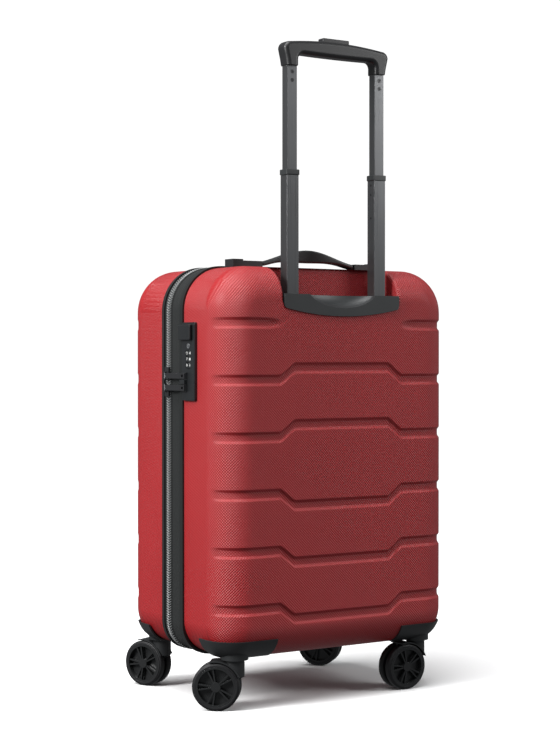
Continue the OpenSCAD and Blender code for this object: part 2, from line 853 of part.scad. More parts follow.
back_shell();
front_shell();
back_rim();
front_rim();
expansion_band();
zip_tape_back();
zip_tape_front();
hinge_tape();
back_lining();
front_lining();
lid_pocket();
packing_straps();
trolley_bezel();
fixed_tubes();
trolley_base();
middle_tubes();
middle_collars();
inner_tubes();
grip_body();
grip_button();
push_rods();
grip_screws();
carry_handle_base();
carry_handle_grip();
lock_case();
lock_button();
lock_dial(0);  // lock_dial_1
lock_dial(1);  // lock_dial_2
lock_dial(2);  // lock_dial_3
key_cylinder();
for (e = zip_ends) {
    zip_slider(e[1] > 0);
    zip_pull(e[1] > 0);
}
corner_guards_back();
corner_guards_front();
for (c = casters) {
    caster_fork(c);
    caster_axle(c);
    for (s = wheel_sides) {
        rim(c, s[1]);
        tyre(c, s[1]);
    }
}
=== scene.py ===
# %% [markdown]
# # A hard shell suitcase on wheels
# The frame holds the suitcase as plain engineering solids, each on the body it moves with. Here
# every visible piece gets its finished form and its finish. A piece that is right already is kept
# and painted. A piece that is too plain is made again, in the same place, and stands for it.

# %% Load the frame
import json
import math
from contextlib import contextmanager

import bmesh
import bpy
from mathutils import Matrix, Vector


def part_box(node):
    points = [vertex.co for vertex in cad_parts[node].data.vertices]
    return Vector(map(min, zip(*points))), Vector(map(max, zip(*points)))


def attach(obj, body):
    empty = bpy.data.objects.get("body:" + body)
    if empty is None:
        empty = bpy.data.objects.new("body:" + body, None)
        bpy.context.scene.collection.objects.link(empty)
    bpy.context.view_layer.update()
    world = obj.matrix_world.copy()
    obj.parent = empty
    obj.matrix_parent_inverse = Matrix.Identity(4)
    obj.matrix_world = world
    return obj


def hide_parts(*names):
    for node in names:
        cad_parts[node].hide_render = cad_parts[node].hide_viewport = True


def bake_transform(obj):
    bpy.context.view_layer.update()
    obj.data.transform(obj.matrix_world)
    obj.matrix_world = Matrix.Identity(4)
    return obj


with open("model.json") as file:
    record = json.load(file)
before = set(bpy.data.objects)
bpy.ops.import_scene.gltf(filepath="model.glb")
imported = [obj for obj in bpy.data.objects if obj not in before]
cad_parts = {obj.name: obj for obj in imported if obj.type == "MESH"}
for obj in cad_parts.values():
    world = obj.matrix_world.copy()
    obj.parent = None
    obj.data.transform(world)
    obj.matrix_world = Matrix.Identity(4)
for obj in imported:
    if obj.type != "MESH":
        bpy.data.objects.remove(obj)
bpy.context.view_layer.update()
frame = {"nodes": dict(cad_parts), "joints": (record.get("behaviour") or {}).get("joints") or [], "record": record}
scene = bpy.context.scene
MM = 0.001

# %% [markdown]
# ## The view
# A long lens, level with the lower half of the case, looks at the corner between the lock side
# and the trolley side. The horizon lies a little above the middle, so the camera tips down by
# about half a degree instead of using a lens shift.

# %% Camera
camera_data = bpy.data.cameras.new("studio_camera")
camera_data.sensor_width = 36
camera_data.lens = 82.2
camera = bpy.data.objects.new("studio_camera", camera_data)
scene.collection.objects.link(camera)
camera.location = (1.233, 1.878, 0.434)
camera.rotation_euler = (math.radians(90 - 0.554), 0, math.radians(147))
scene.camera = camera
print("camera at", tuple(camera.location))

# %% [markdown]
# ## Light and floor
# A product picture like this is taken in a white room. A wide soft lamp high above lights the
# floor until it is as white as the room, so that only the soft shadow between the wheels stays.
# A tall box on the left gives the bright stripe down the rounded edge, and one on the right gives
# the sheen on the upper part of the back. The room looks white but gives only dim light, or it
# would fill in every shadow: its light is mixed by what kind of ray asks for it.

# %% Floor, world and lamps
scene.view_settings.view_transform = "Standard"
bpy.ops.mesh.primitive_plane_add(size=60, location=(0, 0, 0))
floor = bpy.context.active_object
floor.name = "studio_floor"
floor.visible_diffuse = False
floor.visible_glossy = False

world = bpy.data.worlds.new("white_room")
scene.world = world
world.use_nodes = True
room = world.node_tree
dim = room.nodes["Background"]
dim.inputs["Color"].default_value = (0.94, 0.97, 1, 1)
dim.inputs["Strength"].default_value = 0.2
white = room.nodes.new("ShaderNodeBackground")
white.inputs["Color"].default_value = (1, 1, 1, 1)
white.inputs["Strength"].default_value = 1.05
ray = room.nodes.new("ShaderNodeLightPath")
either = room.nodes.new("ShaderNodeMixShader")
room.links.new(ray.outputs["Is Camera Ray"], either.inputs[0])
room.links.new(dim.outputs[0], either.inputs[1])
room.links.new(white.outputs[0], either.inputs[2])
room.links.new(either.outputs[0], room.nodes["World Output"].inputs["Surface"])


def lamp(name, kind, place, target, strength, **settings):
    """A lamp at place that faces target."""
    data = bpy.data.lights.new(name, kind)
    data.energy = strength
    for key, value in settings.items():
        setattr(data, key, value)
    light = bpy.data.objects.new(name, data)
    scene.collection.objects.link(light)
    light.location = place
    light.rotation_euler = (Vector(target) - Vector(place)).to_track_quat("-Z", "Y").to_euler()
    return light


def soft_box(name, place, target, width, height, watts):
    """A rectangular lamp."""
    return lamp(name, "AREA", place, target, watts, shape="RECTANGLE", size=width, size_y=height)


lamp("sky_lamp", "SUN", (0.9, 0.3, 3), (0, 0, 0), 3.9, angle=math.radians(50))
soft_box("key_box", (1.9, 0.15, 1.3), (0.1, 0, 0.5), 0.6, 0.9, 62)
soft_box("sheen_box", (-1.5, 1.3, 1.35), (0, 0.1, 0.5), 0.7, 1.0, 20)
print("three lamps, one floor")

# %% [markdown]
# ## Shader maths
# A pattern such as an embossed grain is a formula of the place on the surface. Written as nodes
# it is hard to read, so a small class wraps a node's output and lets Python's + - * / build the
# Math nodes. One method adds any other node.

# %% Shader helper
class Wire:
    """One output of a node, with operators that add Math nodes."""

    def __init__(self, finish, socket):
        self.finish = finish
        self.socket = socket

    def _math(self, operation, *values):
        return self.finish.add("ShaderNodeMath", {"operation": operation}, dict(enumerate(values)))

    def __add__(self, other):
        return self._math("ADD", self, other)

    def __radd__(self, other):
        return self._math("ADD", other, self)

    def __sub__(self, other):
        return self._math("SUBTRACT", self, other)

    def __rsub__(self, other):
        return self._math("SUBTRACT", other, self)

    def __mul__(self, other):
        return self._math("MULTIPLY", self, other)

    def __rmul__(self, other):
        return self._math("MULTIPLY", other, self)

    def __truediv__(self, other):
        return self._math("DIVIDE", self, other)

    def wave(self):
        return self._math("SINE", self)

    def size(self):
        return self._math("ABSOLUTE", self)

    def above(self, limit):
        return self._math("GREATER_THAN", self, limit)

    def clipped(self):
        return self.finish.add("ShaderNodeClamp", {}, {"Value": self})


class Finish:
    """A material under construction. Fixed values go on the shader's own sockets."""

    def __init__(self, name, colour, roughness, metallic=0.0, **fixed):
        self.material = bpy.data.materials.new(name)
        self.material.use_nodes = True
        self.material.diffuse_color = (*colour, 1)
        self.tree = self.material.node_tree
        self.shader = self.tree.nodes["Principled BSDF"]
        self.shader.inputs["Base Color"].default_value = (*colour, 1)
        self.shader.inputs["Roughness"].default_value = roughness
        self.shader.inputs["Metallic"].default_value = metallic
        for socket, value in fixed.items():
            self.shader.inputs[socket.replace("_", " ")].default_value = value

    def add(self, kind, settings=None, sockets=None, out=0):
        """Adds a node, sets it up, fills its sockets with values or wires, and gives an output."""
        node = self.tree.nodes.new(kind)
        for key, value in (settings or {}).items():
            setattr(node, key, value)
        for key, value in (sockets or {}).items():
            self.feed(node.inputs[key], value)
        return Wire(self, node.outputs[out])

    def feed(self, socket, value):
        if isinstance(value, Wire):
            self.tree.links.new(value.socket, socket)
        else:
            socket.default_value = value

    def drive(self, name, value):
        self.feed(self.shader.inputs[name], value)

    def place(self):
        return self.add("ShaderNodeTexCoord", out="Object")

    def axes(self, vector=None):
        """The three numbers of a vector, by default the place on the object, in metres."""
        split = self.add("ShaderNodeSeparateXYZ", {}, {0: vector or self.place()})
        return [Wire(self, split.socket.node.outputs[k]) for k in range(3)]

    def noise(self, scale, detail=2.0, roughness=0.5, vector=None):
        return self.add("ShaderNodeTexNoise", {}, {"Vector": vector or self.place(), "Scale": scale,
                                                   "Detail": detail, "Roughness": roughness})

    def stretched(self, scale_xyz):
        return self.add("ShaderNodeMapping", {}, {"Vector": self.place(), "Scale": scale_xyz})

    def blend_colours(self, factor, low, high):
        mix = self.add("ShaderNodeMix", {"data_type": "RGBA"}, {0: factor}, out=2)
        self.feed(mix.socket.node.inputs[6], low if isinstance(low, Wire) else (*low, 1))
        self.feed(mix.socket.node.inputs[7], high if isinstance(high, Wire) else (*high, 1))
        return mix

    def bump(self, height, depth_m, strength=1.0):
        self.drive("Normal", self.add("ShaderNodeBump", {}, {"Height": height, "Strength": strength,
                                                             "Distance": depth_m}))


print("shader helper ready")

# %% Floor finish
pale_floor = Finish("pale_floor", (0.9, 0.9, 0.9), 0.6)
pale_floor.drive("Roughness", pale_floor.noise(3, 3, 0.5) * 0.1 + 0.55)
floor.data.materials.append(pale_floor.material)

# %% [markdown]
# ## Helpers for modelling by hand
# The Blender operators act on whatever is selected, so each step first clears the selection and
# then picks faces, edges or corners by where they are. These few helpers hold that routine.

# %% Modelling helpers
@contextmanager
def editing(piece):
    """Edit mode on one piece, with nothing selected in it at first."""
    only(piece)
    bpy.ops.object.mode_set(mode="EDIT")
    bpy.ops.mesh.select_mode(type="VERT")
    bpy.ops.mesh.select_all(action="DESELECT")
    yield bmesh.from_edit_mesh(piece.data)
    bpy.ops.object.mode_set(mode="OBJECT")


def only(*pieces):
    """Selects these objects and no others. The first one is the active one."""
    if bpy.context.mode != "OBJECT":
        bpy.ops.object.mode_set(mode="OBJECT")
    bpy.ops.object.select_all(action="DESELECT")
    for piece in pieces:
        piece.hide_viewport = False
        piece.select_set(True)
    bpy.context.view_layer.objects.active = pieces[0]


def pick(piece, kind, test):
    """In edit mode: selects the corners, edges or faces whose place passes the test."""
    bpy.ops.mesh.select_mode(type={"verts": "VERT", "edges": "EDGE", "faces": "FACE"}[kind])
    bpy.ops.mesh.select_all(action="DESELECT")
    mesh = bmesh.from_edit_mesh(piece.data)
    found = 0
    for part in getattr(mesh, kind):
        if test(part):
            part.select_set(True)
            found += 1
    mesh.select_flush_mode()
    bmesh.update_edit_mesh(piece.data)
    return found


def middle(part):
    """The middle of an edge or a face, in millimetres."""
    if isinstance(part, bmesh.types.BMFace):
        return part.calc_center_median() / MM
    return (part.verts[0].co + part.verts[1].co) / 2 / MM


def modify(piece, kind, **settings):
    """Adds a modifier and applies it."""
    only(piece)
    modifier = piece.modifiers.new(kind.lower(), kind)
    for key, value in settings.items():
        setattr(modifier, key, value)
    bpy.ops.object.modifier_apply(modifier=modifier.name)
    return piece


def settle(piece):
    """Moves an object's place, turn and scale into its mesh."""
    only(piece)
    bpy.ops.object.transform_apply(location=True, rotation=True, scale=True)
    return piece


def smooth(piece, degrees=32, weighted=True):
    """Smooth shading that keeps the sharp corners, with flat faces kept flat."""
    only(piece)
    bpy.ops.object.shade_smooth_by_angle(angle=math.radians(degrees))
    if weighted:
        modify(piece, "WEIGHTED_NORMAL", keep_sharp=True)
    return piece


def done(piece, name, body, finish, replaces=()):
    """Names a finished piece, paints it, and tells the frame what it rides on and stands for."""
    piece.name = name
    piece.data.name = name
    piece.data.materials.clear()
    piece.data.materials.append(finish)
    if body:
        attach(piece, body)
    if replaces:
        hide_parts(*replaces)
    print(f"{name}: {len(piece.data.polygons)} faces")
    return piece


def cut(piece, cutter, operation="DIFFERENCE"):
    """Takes the cutter out of the piece, and throws the cutter away."""
    modify(piece, "BOOLEAN", object=cutter, operation=operation, solver="EXACT")
    bpy.data.objects.remove(cutter)
    return piece


def brick(low, high):
    """A box from its lowest to its highest corner, in millimetres, as a start for a piece."""
    low, high = Vector(low), Vector(high)
    bpy.ops.mesh.primitive_cube_add(size=1, location=(low + high) / 2 * MM)
    piece = bpy.context.active_object
    piece.scale = (high - low) * MM
    return settle(piece)


def drum(centre, radius, height, axis="Z", sides=48):
    """A cylinder round a centre, in millimetres, as a start for a piece."""
    turn = {"X": (0, math.pi / 2, 0), "Y": (math.pi / 2, 0, 0), "Z": (0, 0, 0)}[axis]
    bpy.ops.mesh.primitive_cylinder_add(vertices=sides, radius=radius * MM, depth=height * MM,
                                        location=Vector(centre) * MM, rotation=turn)
    return settle(bpy.context.active_object)


def joined(pieces):
    """Several objects made into one."""
    only(*pieces)
    bpy.ops.object.join()
    return bpy.context.active_object


print("modelling helpers ready")

# %% [markdown]
# ## The red finish of the shells
# The shells are pressed from polycarbonate sheet with a fine diamond grain that hides scratches.
# The grain is too small to model, so it is a bump: two sets of slanted ridges cross each other.
# They run along the developed surface, so the pattern reads a map that is stored on the mesh.
# Handling rubs the grain a little glossier here and there, which a slow noise gives.

# %% Shell finish
GRAIN_PITCH = 3.5 * MM


def shell_finish(name, colour, roughness):
    finish = Finish(name, colour, roughness, Specular_IOR_Level=0.55, Coat_Weight=0.1,
                    Coat_Roughness=0.32)
    u, v, _ = finish.axes(finish.add("ShaderNodeUVMap", {"uv_map": "grain"}))
    turn = math.pi / GRAIN_PITCH
    ridges = ((u + v) * turn).wave().size() + ((u - v) * turn).wave().size()
    wear = finish.noise(9, 4, 0.6)
    dust = finish.noise(240, 2, 0.5)
    finish.bump(ridges * 0.5 + dust * 0.05, 0.0009, 1.0)
    finish.drive("Roughness", wear * 0.1 + (roughness - 0.05) + ridges * 0.02)
    deep = tuple(c * 0.86 for c in colour)
    finish.drive("Base Color", finish.blend_colours(wear, deep, colour))
    return finish.material


shell_red = shell_finish("shell_red", (0.33, 0.008, 0.011), 0.42)
print("shell finish made")

# %% [markdown]
# ## The two shells
# Each shell starts as a sheet in the shape of the case's outline. It is extruded to its depth and
# the edge round the face is bevelled to a large radius. The back shell then gets its recess for
# the trolley handle. The grooves are pressed in last: bisecting the surface along every line of
# a groove gives it the corners that it needs, and those are moved inwards along the normal.

# %% Measures of the case
low, high = (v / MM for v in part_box("back_shell"))
BACK_Y, HALF_W, BOTTOM, TOP = high.y, high.x, low.z, high.z
BACK_SEAM = low.y
FRONT_Y, FRONT_SEAM = (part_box("front_shell")[k].y / MM for k in (0, 1))
EDGE_R, TOP_R, LOW_R, WALL = 42, 55, 43, 2.2
GROOVE_HALF, GROOVE_DEEP, GROOVE_STEP, GROOVE_SHIFT = 7.6, 2.6, 70, 15
GROOVE_TOP = TOP - 71
KNEE, BEND = 72, 92
TUBE_X, TUBE_Y = 66.7, 104
NOTCH_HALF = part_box("trolley_bezel")[1].x / MM + 0.3
NOTCH_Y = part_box("trolley_bezel")[0].y / MM - 0.3
NOTCH_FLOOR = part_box("fixed_tubes")[1].z / MM - 12
print(f"case {2 * HALF_W:.0f} wide, {TOP - BOTTOM:.0f} high, faces at {FRONT_Y:.0f} and {BACK_Y:.0f}")


# %% Groove shape
def groove_rows(number):
    """Height of a groove at the sides and in the middle of the case."""
    side = GROOVE_TOP - number * GROOVE_STEP
    return side, side + (GROOVE_SHIFT if number < 3 else -GROOVE_SHIFT)


def groove_height(number, x):
    """Height of a groove's middle line at x: level, with a slant between the knee and the bend."""
    side, mid = groove_rows(number)
    share = min(max((abs(x) - KNEE) / (BEND - KNEE), 0), 1)
    return mid + (side - mid) * share


def pressed(offset):
    """Depth of a groove, from 0 to 1, at a distance from its middle line: flat, with soft sides."""
    share = min(max((GROOVE_HALF - abs(offset)) / 4.6, 0), 1)
    return share * share * (3 - 2 * share)


def groove_depth(x, z, stopped):
    """How far a corner at x, z moves inwards. The first groove of the back stops at the bezel."""
    deepest = 0
    for number in range(6):
        width = 1.0
        if stopped and number == 0:
            width = min(max((abs(x) - NOTCH_HALF - 4) / 22, 0), 1) ** 0.5
        if width > 0.02:
            offset = (z - groove_height(number, x)) / width
            deepest = max(deepest, pressed(offset) * min(1, width * 1.4))
    return deepest * GROOVE_DEEP


GROOVE_LINES = [-7.6, -6.6, -5.3, -4.0, -3.0, 0, 3.0, 4.0, 5.3, 6.6, 7.6]
print("grooves at", [round(groove_rows(k)[0]) for k in range(6)])


# %% Shell body
def shell_body(face_y, seam_y):
    """A closed tray-shaped solid from the seam to the face, with its large rounded edge."""
    out = 1 if face_y > seam_y else -1
    bpy.ops.mesh.primitive_plane_add(size=1, location=(0, seam_y * MM, (TOP + BOTTOM) / 2 * MM),
                                     rotation=(-out * math.pi / 2, 0, 0))
    shell = bpy.context.active_object
    shell.scale = (2 * HALF_W * MM, (TOP - BOTTOM) * MM, 1)
    settle(shell)
    with editing(shell):
        for radius, above in ((TOP_R, True), (LOW_R, False)):
            pick(shell, "verts", lambda v: (v.co.z / MM > 300) == above)
            bpy.ops.mesh.bevel(offset=radius * MM, segments=14, profile=0.5, affect="VERTICES",
                               clamp_overlap=False)
        bpy.ops.mesh.select_all(action="SELECT")
        bpy.ops.mesh.extrude_region_move(
            TRANSFORM_OT_translate={"value": (0, (face_y - seam_y) * MM, 0)})
        pick(shell, "edges", lambda e: all(abs(v.co.y / MM - face_y) < 0.01 for v in e.verts))
        bpy.ops.mesh.bevel(offset=EDGE_R * MM, segments=14, profile=0.5, affect="EDGES",
                           clamp_overlap=False)
        bpy.ops.mesh.select_all(action="SELECT")
        bpy.ops.mesh.remove_doubles(threshold=0.00002)
        bpy.ops.mesh.normals_make_consistent(inside=False)
    return shell


# %% Pressing the grooves
def bisect(piece, test, point, normal):
    """Cuts the faces that pass the test along a plane, and keeps both sides."""
    pick(piece, "faces", test)
    bpy.ops.mesh.bisect(plane_co=Vector(point) * MM, plane_no=normal, threshold=0.00003)


def press_grooves(shell, face_y, stopped):
    """Cuts the lines of every groove into the surface, then moves them inwards."""
    out = 1 if face_y > 0 else -1
    with editing(shell):
        for x in (KNEE, BEND, NOTCH_HALF + 9, NOTCH_HALF + 16, NOTCH_HALF + 26):
            for side in (-1, 1):
                bisect(shell, lambda f: out * (face_y - middle(f).y) < EDGE_R, (side * x, 0, 0),
                       (1, 0, 0))
        for number in range(6):
            side_z, mid_z = groove_rows(number)
            slope = (mid_z - side_z) / (BEND - KNEE)
            for line in GROOVE_LINES:
                def between(f, low_x, high_x):
                    m = middle(f)
                    return low_x < abs(m.x) < high_x and out * (face_y - m.y) < EDGE_R
                bisect(shell, lambda f: between(f, BEND, HALF_W + 1), (0, 0, side_z + line),
                       (0, 0, 1))
                bisect(shell, lambda f: between(f, -1, KNEE), (0, 0, mid_z + line), (0, 0, 1))
                for side in (-1, 1):
                    bisect(shell, lambda f: between(f, KNEE, BEND) and middle(f).x * side > 0,
                           (side * BEND, 0, side_z + line), (side * slope, 0, 1))
    mesh = shell.data
    normals = [v.vector.copy() for v in mesh.vertex_normals]
    moved = 0
    for vertex, normal in zip(mesh.vertices, normals):
        x, y, z = vertex.co / MM
        facing = out * normal.y
        fade = min(max((facing - 0.26) / 0.32, 0), 1)
        inside_notch = stopped and abs(x) < NOTCH_HALF + 3 and z > NOTCH_FLOOR - 3
        if fade > 0 and not inside_notch:
            depth = groove_depth(x, z, stopped) * fade * fade * (3 - 2 * fade)
            if depth > 0:
                vertex.co -= normal * depth * MM
                moved += 1
    print("corners pressed inwards:", moved)


# %% Grain map
def map_grain(shell, face_y):
    """Stores where each corner is on the developed surface, for the diamond grain."""
    out = 1 if face_y > 0 else -1
    layer = shell.data.uv_layers.new(name="grain")
    normals = shell.data.vertex_normals

    def developed(across, half, depth):
        """Distance from the middle, over the flat, round the edge and down the wall."""
        flat = half - EDGE_R
        over = max(abs(across) - flat, 0)
        if depth > EDGE_R:
            length = EDGE_R * math.pi / 2 + depth - EDGE_R
        else:
            length = EDGE_R * math.asin(min(over / EDGE_R, 1))
        return math.copysign(flat + length if over > 0 else abs(across), across)

    for polygon in shell.data.polygons:
        turned = polygon.normal
        for loop in polygon.loop_indices:
            x, y, z = shell.data.vertices[shell.data.loops[loop].vertex_index].co / MM
            depth = out * (face_y - y)
            z -= (TOP + BOTTOM) / 2
            sideways = abs(turned.x) > abs(turned.z)
            u = developed(x, HALF_W, depth) if sideways or depth < EDGE_R else x
            v = z if sideways and depth > 5 else developed(z, (TOP - BOTTOM) / 2, depth)
            if abs(turned.x) > 0.5 and abs(polygon.center.x) < (NOTCH_HALF + 8) * MM:
                u, v = y, z
            layer.data[loop].uv = (u * MM, v * MM)
    shell.data.uv_layers.active = layer


# %% Recess for the trolley handle
ARC_HIGH = 872
ARC_R = 387


def arched(piece, radius):
    """Keeps what lies inside a large drum, so that the lower edge of a piece becomes an arc."""
    return cut(piece, drum((0, BACK_Y, ARC_HIGH), radius, 200, "Y", 256), "INTERSECT")


def recess(shell):
    """Cuts the recess for the trolley handle, and rounds its edges."""
    cutter = brick((-NOTCH_HALF, NOTCH_Y, NOTCH_FLOOR - 5), (NOTCH_HALF, BACK_Y + 40, TOP + 40))
    cut(shell, arched(cutter, ARC_R - 2))

    def side_wall(f):
        m, n = middle(f), f.normal
        return abs(abs(m.x) - NOTCH_HALF) < 0.1 and abs(n.x) > 0.99 and m.y > NOTCH_Y

    def back_wall(f):
        return abs(middle(f).y - NOTCH_Y) < 0.1 and abs(f.normal.y) > 0.99

    def recessed(f):
        return side_wall(f) or back_wall(f)

    with editing(shell):
        pick(shell, "edges", lambda e: len(e.link_faces) == 2 and middle(e).z > NOTCH_FLOOR + 9
             and sum(map(recessed, e.link_faces)) == 1)
        bpy.ops.mesh.bevel(offset=5 * MM, segments=4, profile=0.5, affect="EDGES",
                           clamp_overlap=False, loop_slide=True)
        pick(shell, "edges", lambda e: len(e.link_faces) == 2 and any(map(side_wall, e.link_faces))
             and any(map(back_wall, e.link_faces)))
        bpy.ops.mesh.bevel(offset=6 * MM, segments=4, profile=0.5, affect="EDGES",
                           clamp_overlap=False)
    for vertex in shell.data.vertices:
        vertex.co.z = min(vertex.co.z, TOP * MM)
        vertex.co.y = min(vertex.co.y, BACK_Y * MM)
    return shell


# %% Back and front shell
def finished_shell(node, body, face_y, seam_y, holes, notched):
    shell = shell_body(face_y, seam_y)
    if notched:
        recess(shell)
    press_grooves(shell, face_y, notched)
    with editing(shell):
        pick(shell, "faces", lambda f: abs(f.normal.y) > 0.99 and abs(middle(f).y - seam_y) < 0.1)
        bpy.ops.mesh.delete(type="FACE")
    map_grain(shell, face_y)
    modify(shell, "SOLIDIFY", thickness=WALL * MM, offset=-1, use_even_offset=False)
    cut(shell, joined(holes))
    smooth(shell, 34)
    return done(shell, node + "_pressed", body, shell_red, [node])


def caster_holes(face_y):
    out = 1 if face_y > 0 else -1
    return [drum((side * 139.5, face_y - out * 32, BOTTOM + 8), 17.1, 30) for side in (-1, 1)]


lock_low, lock_high = (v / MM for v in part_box("lock_case"))
holes = caster_holes(BACK_Y)
holes.append(brick((lock_low.x, lock_low.y + 2, lock_low.z + 4),
                   (lock_high.x + 5, lock_high.y - 2, lock_high.z - 4)))
for side in (-1, 1):
    holes.append(brick((side * TUBE_X - 10.7, 94.3, NOTCH_FLOOR - 9),
                       (side * TUBE_X + 10.7, 113.7, NOTCH_FLOOR + 9)))
    holes.append(drum((side * 63, 40, TOP), 4.2, 16))
back_shell = finished_shell("back_shell", "root", BACK_Y, BACK_SEAM, holes, True)
front_shell = finished_shell("front_shell", "lid", FRONT_Y, FRONT_SEAM,
                             caster_holes(FRONT_Y), False)

# %% [markdown]
# ## Rims, band and zip
# Between the shells run, from the back to the front: a rubber rim with a round bead, the dark
# fabric band, the two zip tapes with their coils, and the rubber rim of the front shell. Each has
# the same cross-section all the way round, so its section is drawn once as a small closed curve
# and swept along the outline of the case. The outline itself is a plane with rounded corners.

# %% Sweeping a section round the case
LOWER_R = 38


def outline_curve():
    """The outline of the case as a flat closed curve, still lying in its own XY plane."""
    bpy.ops.mesh.primitive_plane_add(size=1, location=(0, 0, (TOP + BOTTOM) / 2 * MM))
    piece = bpy.context.active_object
    piece.scale = (2 * HALF_W * MM, (TOP - BOTTOM) * MM, 1)
    only(piece)
    bpy.ops.object.transform_apply(location=False, rotation=False, scale=True)
    piece.rotation_euler = (math.pi / 2, 0, 0)
    with editing(piece):
        for radius, above in ((TOP_R, True), (LOWER_R, False)):
            pick(piece, "verts", lambda v: (v.co.y > 0.1) == above)
            bpy.ops.mesh.bevel(offset=radius * MM, segments=16, profile=0.5, affect="VERTICES",
                               clamp_overlap=False)
        bpy.ops.mesh.select_all(action="SELECT")
        bpy.ops.mesh.delete(type="ONLY_FACE")
    only(piece)
    bpy.ops.object.convert(target="CURVE")
    piece = bpy.context.active_object
    piece.data.dimensions = "2D"
    return piece


def section_curve(section):
    """A closed section of (y, proud) corners: y as in the case, proud outwards, in millimetres."""
    data = bpy.data.curves.new("section", "CURVE")
    line = data.splines.new("POLY")
    line.points.add(len(section) - 1)
    for point, (y, proud) in zip(line.points, section):
        point.co = (proud * MM, -y * MM, 0, 1)
    line.use_cyclic_u = True
    piece = bpy.data.objects.new("section", data)
    scene.collection.objects.link(piece)
    return piece


def swept(section):
    """Sweeps a section round the case and gives the closed ring as a mesh."""
    path, profile = outline_curve(), section_curve(section)
    path.data.bevel_mode = "OBJECT"
    path.data.bevel_object = profile
    only(path)
    bpy.ops.object.convert(target="MESH")
    ring = settle(bpy.context.active_object)
    bpy.data.objects.remove(profile)
    with editing(ring):
        bpy.ops.mesh.select_all(action="SELECT")
        bpy.ops.mesh.remove_doubles(threshold=0.00001)
        bpy.ops.mesh.normals_make_consistent(inside=False)
    return ring


def rounded(low_y, high_y, low, proud, radius, steps=4):
    """A section with a flat foot and two rounded outer corners."""
    corners = [(low_y, low)]
    for centre, start in ((low_y + radius, 180), (high_y - radius, 90)):
        for k in range(steps + 1):
            angle = math.radians(start - 90 * k / steps)
            corners.append((centre + radius * math.cos(angle),
                            proud - radius + radius * math.sin(angle)))
    return corners + [(high_y, low)]


# %% [markdown]
# The rubber is matt and nearly black. The fabric of the band is a tight plain weave: two sets of
# threads cross, and each thread stands up where it passes over. The same formula, with its own
# pitch, serves the zip tape, the straps and the lining.

# %% Rubber and woven finishes
def rubber_finish(name, colour, roughness):
    finish = Finish(name, colour, roughness, Specular_IOR_Level=0.35)
    speck = finish.noise(900, 2, 0.6)
    cloud = finish.noise(14, 3, 0.6)
    finish.bump(speck, 0.00008, 0.5)
    finish.drive("Roughness", cloud * 0.14 + (roughness - 0.07))
    finish.drive("Base Color", finish.blend_colours(cloud, tuple(c * 0.8 for c in colour),
                                                    tuple(c * 1.2 for c in colour)))
    return finish.material


def woven_finish(name, colour, pitch_mm, roughness=0.85, sheen=0.15):
    finish = Finish(name, colour, roughness, Specular_IOR_Level=0.25, Sheen_Weight=sheen,
                    Sheen_Roughness=0.4)
    x, y, z = finish.axes()
    turn = math.pi / (pitch_mm * MM)
    over = (z * turn).wave() * ((x + y) * turn).wave()
    threads = ((z * (turn * 2)).wave().size() + ((x + y) * (turn * 2)).wave().size()) * 0.35
    fuzz = finish.noise(600, 3, 0.6)
    weave = over.size() * 0.6 + threads + fuzz * 0.25
    finish.bump(weave, 0.00025, 0.8)
    # The colour follows the height of the weave. It is darker in the hollows between the threads and lighter on
    # the raised threads, which is painted shade. A random fuzz tone is mixed in.
    shade = (weave * 0.8 + fuzz * 0.4).clipped()
    finish.drive("Base Color", finish.blend_colours(shade, tuple(c * 0.55 for c in colour),
                                                    tuple(min(1, c * 1.35) for c in colour)))
    finish.drive("Roughness", fuzz * 0.1 + (roughness - 0.05))
    return finish.material


rim_rubber = rubber_finish("rim_rubber", (0.011, 0.012, 0.012), 0.36)
band_fabric = woven_finish("band_fabric", (0.008, 0.009, 0.009), 1.3, 0.8, 0.03)
zip_nylon = woven_finish("zip_nylon", (0.007, 0.008, 0.008), 0.9, 0.8, 0.03)
print("rubber and woven finishes made")

# %% Rims
back_bead = [(21.9, -2.5), (21.9, 1.6)]
back_bead += [(23.9 + 2.0 * math.cos(math.radians(a)), 1.15 + 2.0 * math.sin(math.radians(a)))
              for a in range(165, -16, -15)]
back_bead += [(26.3, 1.1), (29.0, 1.1), (29.4, 0.7), (29.5, -2.5)]
done(smooth(swept(back_bead)), "back_rim_beaded", "root", rim_rubber, ["back_rim"])
front_lip = rounded(-23, -19.6, -2.5, 1.3, 0.6)[:-1] + rounded(-19.5, -17.1, -2.5, 2.45, 1.1)[1:]
done(smooth(swept(front_lip)), "front_rim_beaded", "lid", rim_rubber, ["front_rim"])

# %% Fabric band
sag = [(y, 1.15 + 0.45 * math.cos(math.pi * (y - 11) / 22)) for y in range(1, 22, 2)]
band_section = [(0.1, -0.4), (0.1, 1.5), (0.9, 1.75), (1.7, 1.3)] + sag[1:] + [(21.9, 0.9), (21.9, -0.4)]
band = done(smooth(swept(band_section), 40), "expansion_band_sewn", "root",
            band_fabric, ["expansion_band"])
print("the band bulges to", round(max(p for _, p in sag), 2), "mm")

# %% Zip tapes
back_edge = [(-6.9, -0.8), (-6.9, 0.55), (-1.6, 0.7), (-0.1, 0.9), (0.05, -0.8)]
done(smooth(swept(back_edge)), "zip_tape_back_woven", "root", zip_nylon,
     ["zip_tape_back"])
front_edge = [(-17, -0.8), (-17, 0.9), (-12.6, 0.7), (-7.1, 0.55), (-7.1, -0.8)]
done(smooth(swept(front_edge)), "zip_tape_front_woven", "lid", zip_nylon,
     ["zip_tape_front"])

# %% [markdown]
# ## Zip coils
# The coils of a nylon zip look like a row of small slanted ribs on each tape that meet in a
# herringbone. One rib is modelled, an Array modifier repeats it, and a Curve modifier bends the
# row round the case. Each rib has few faces, because there are hundreds.

# %% Zip coils
RIB_PITCH = 3.1


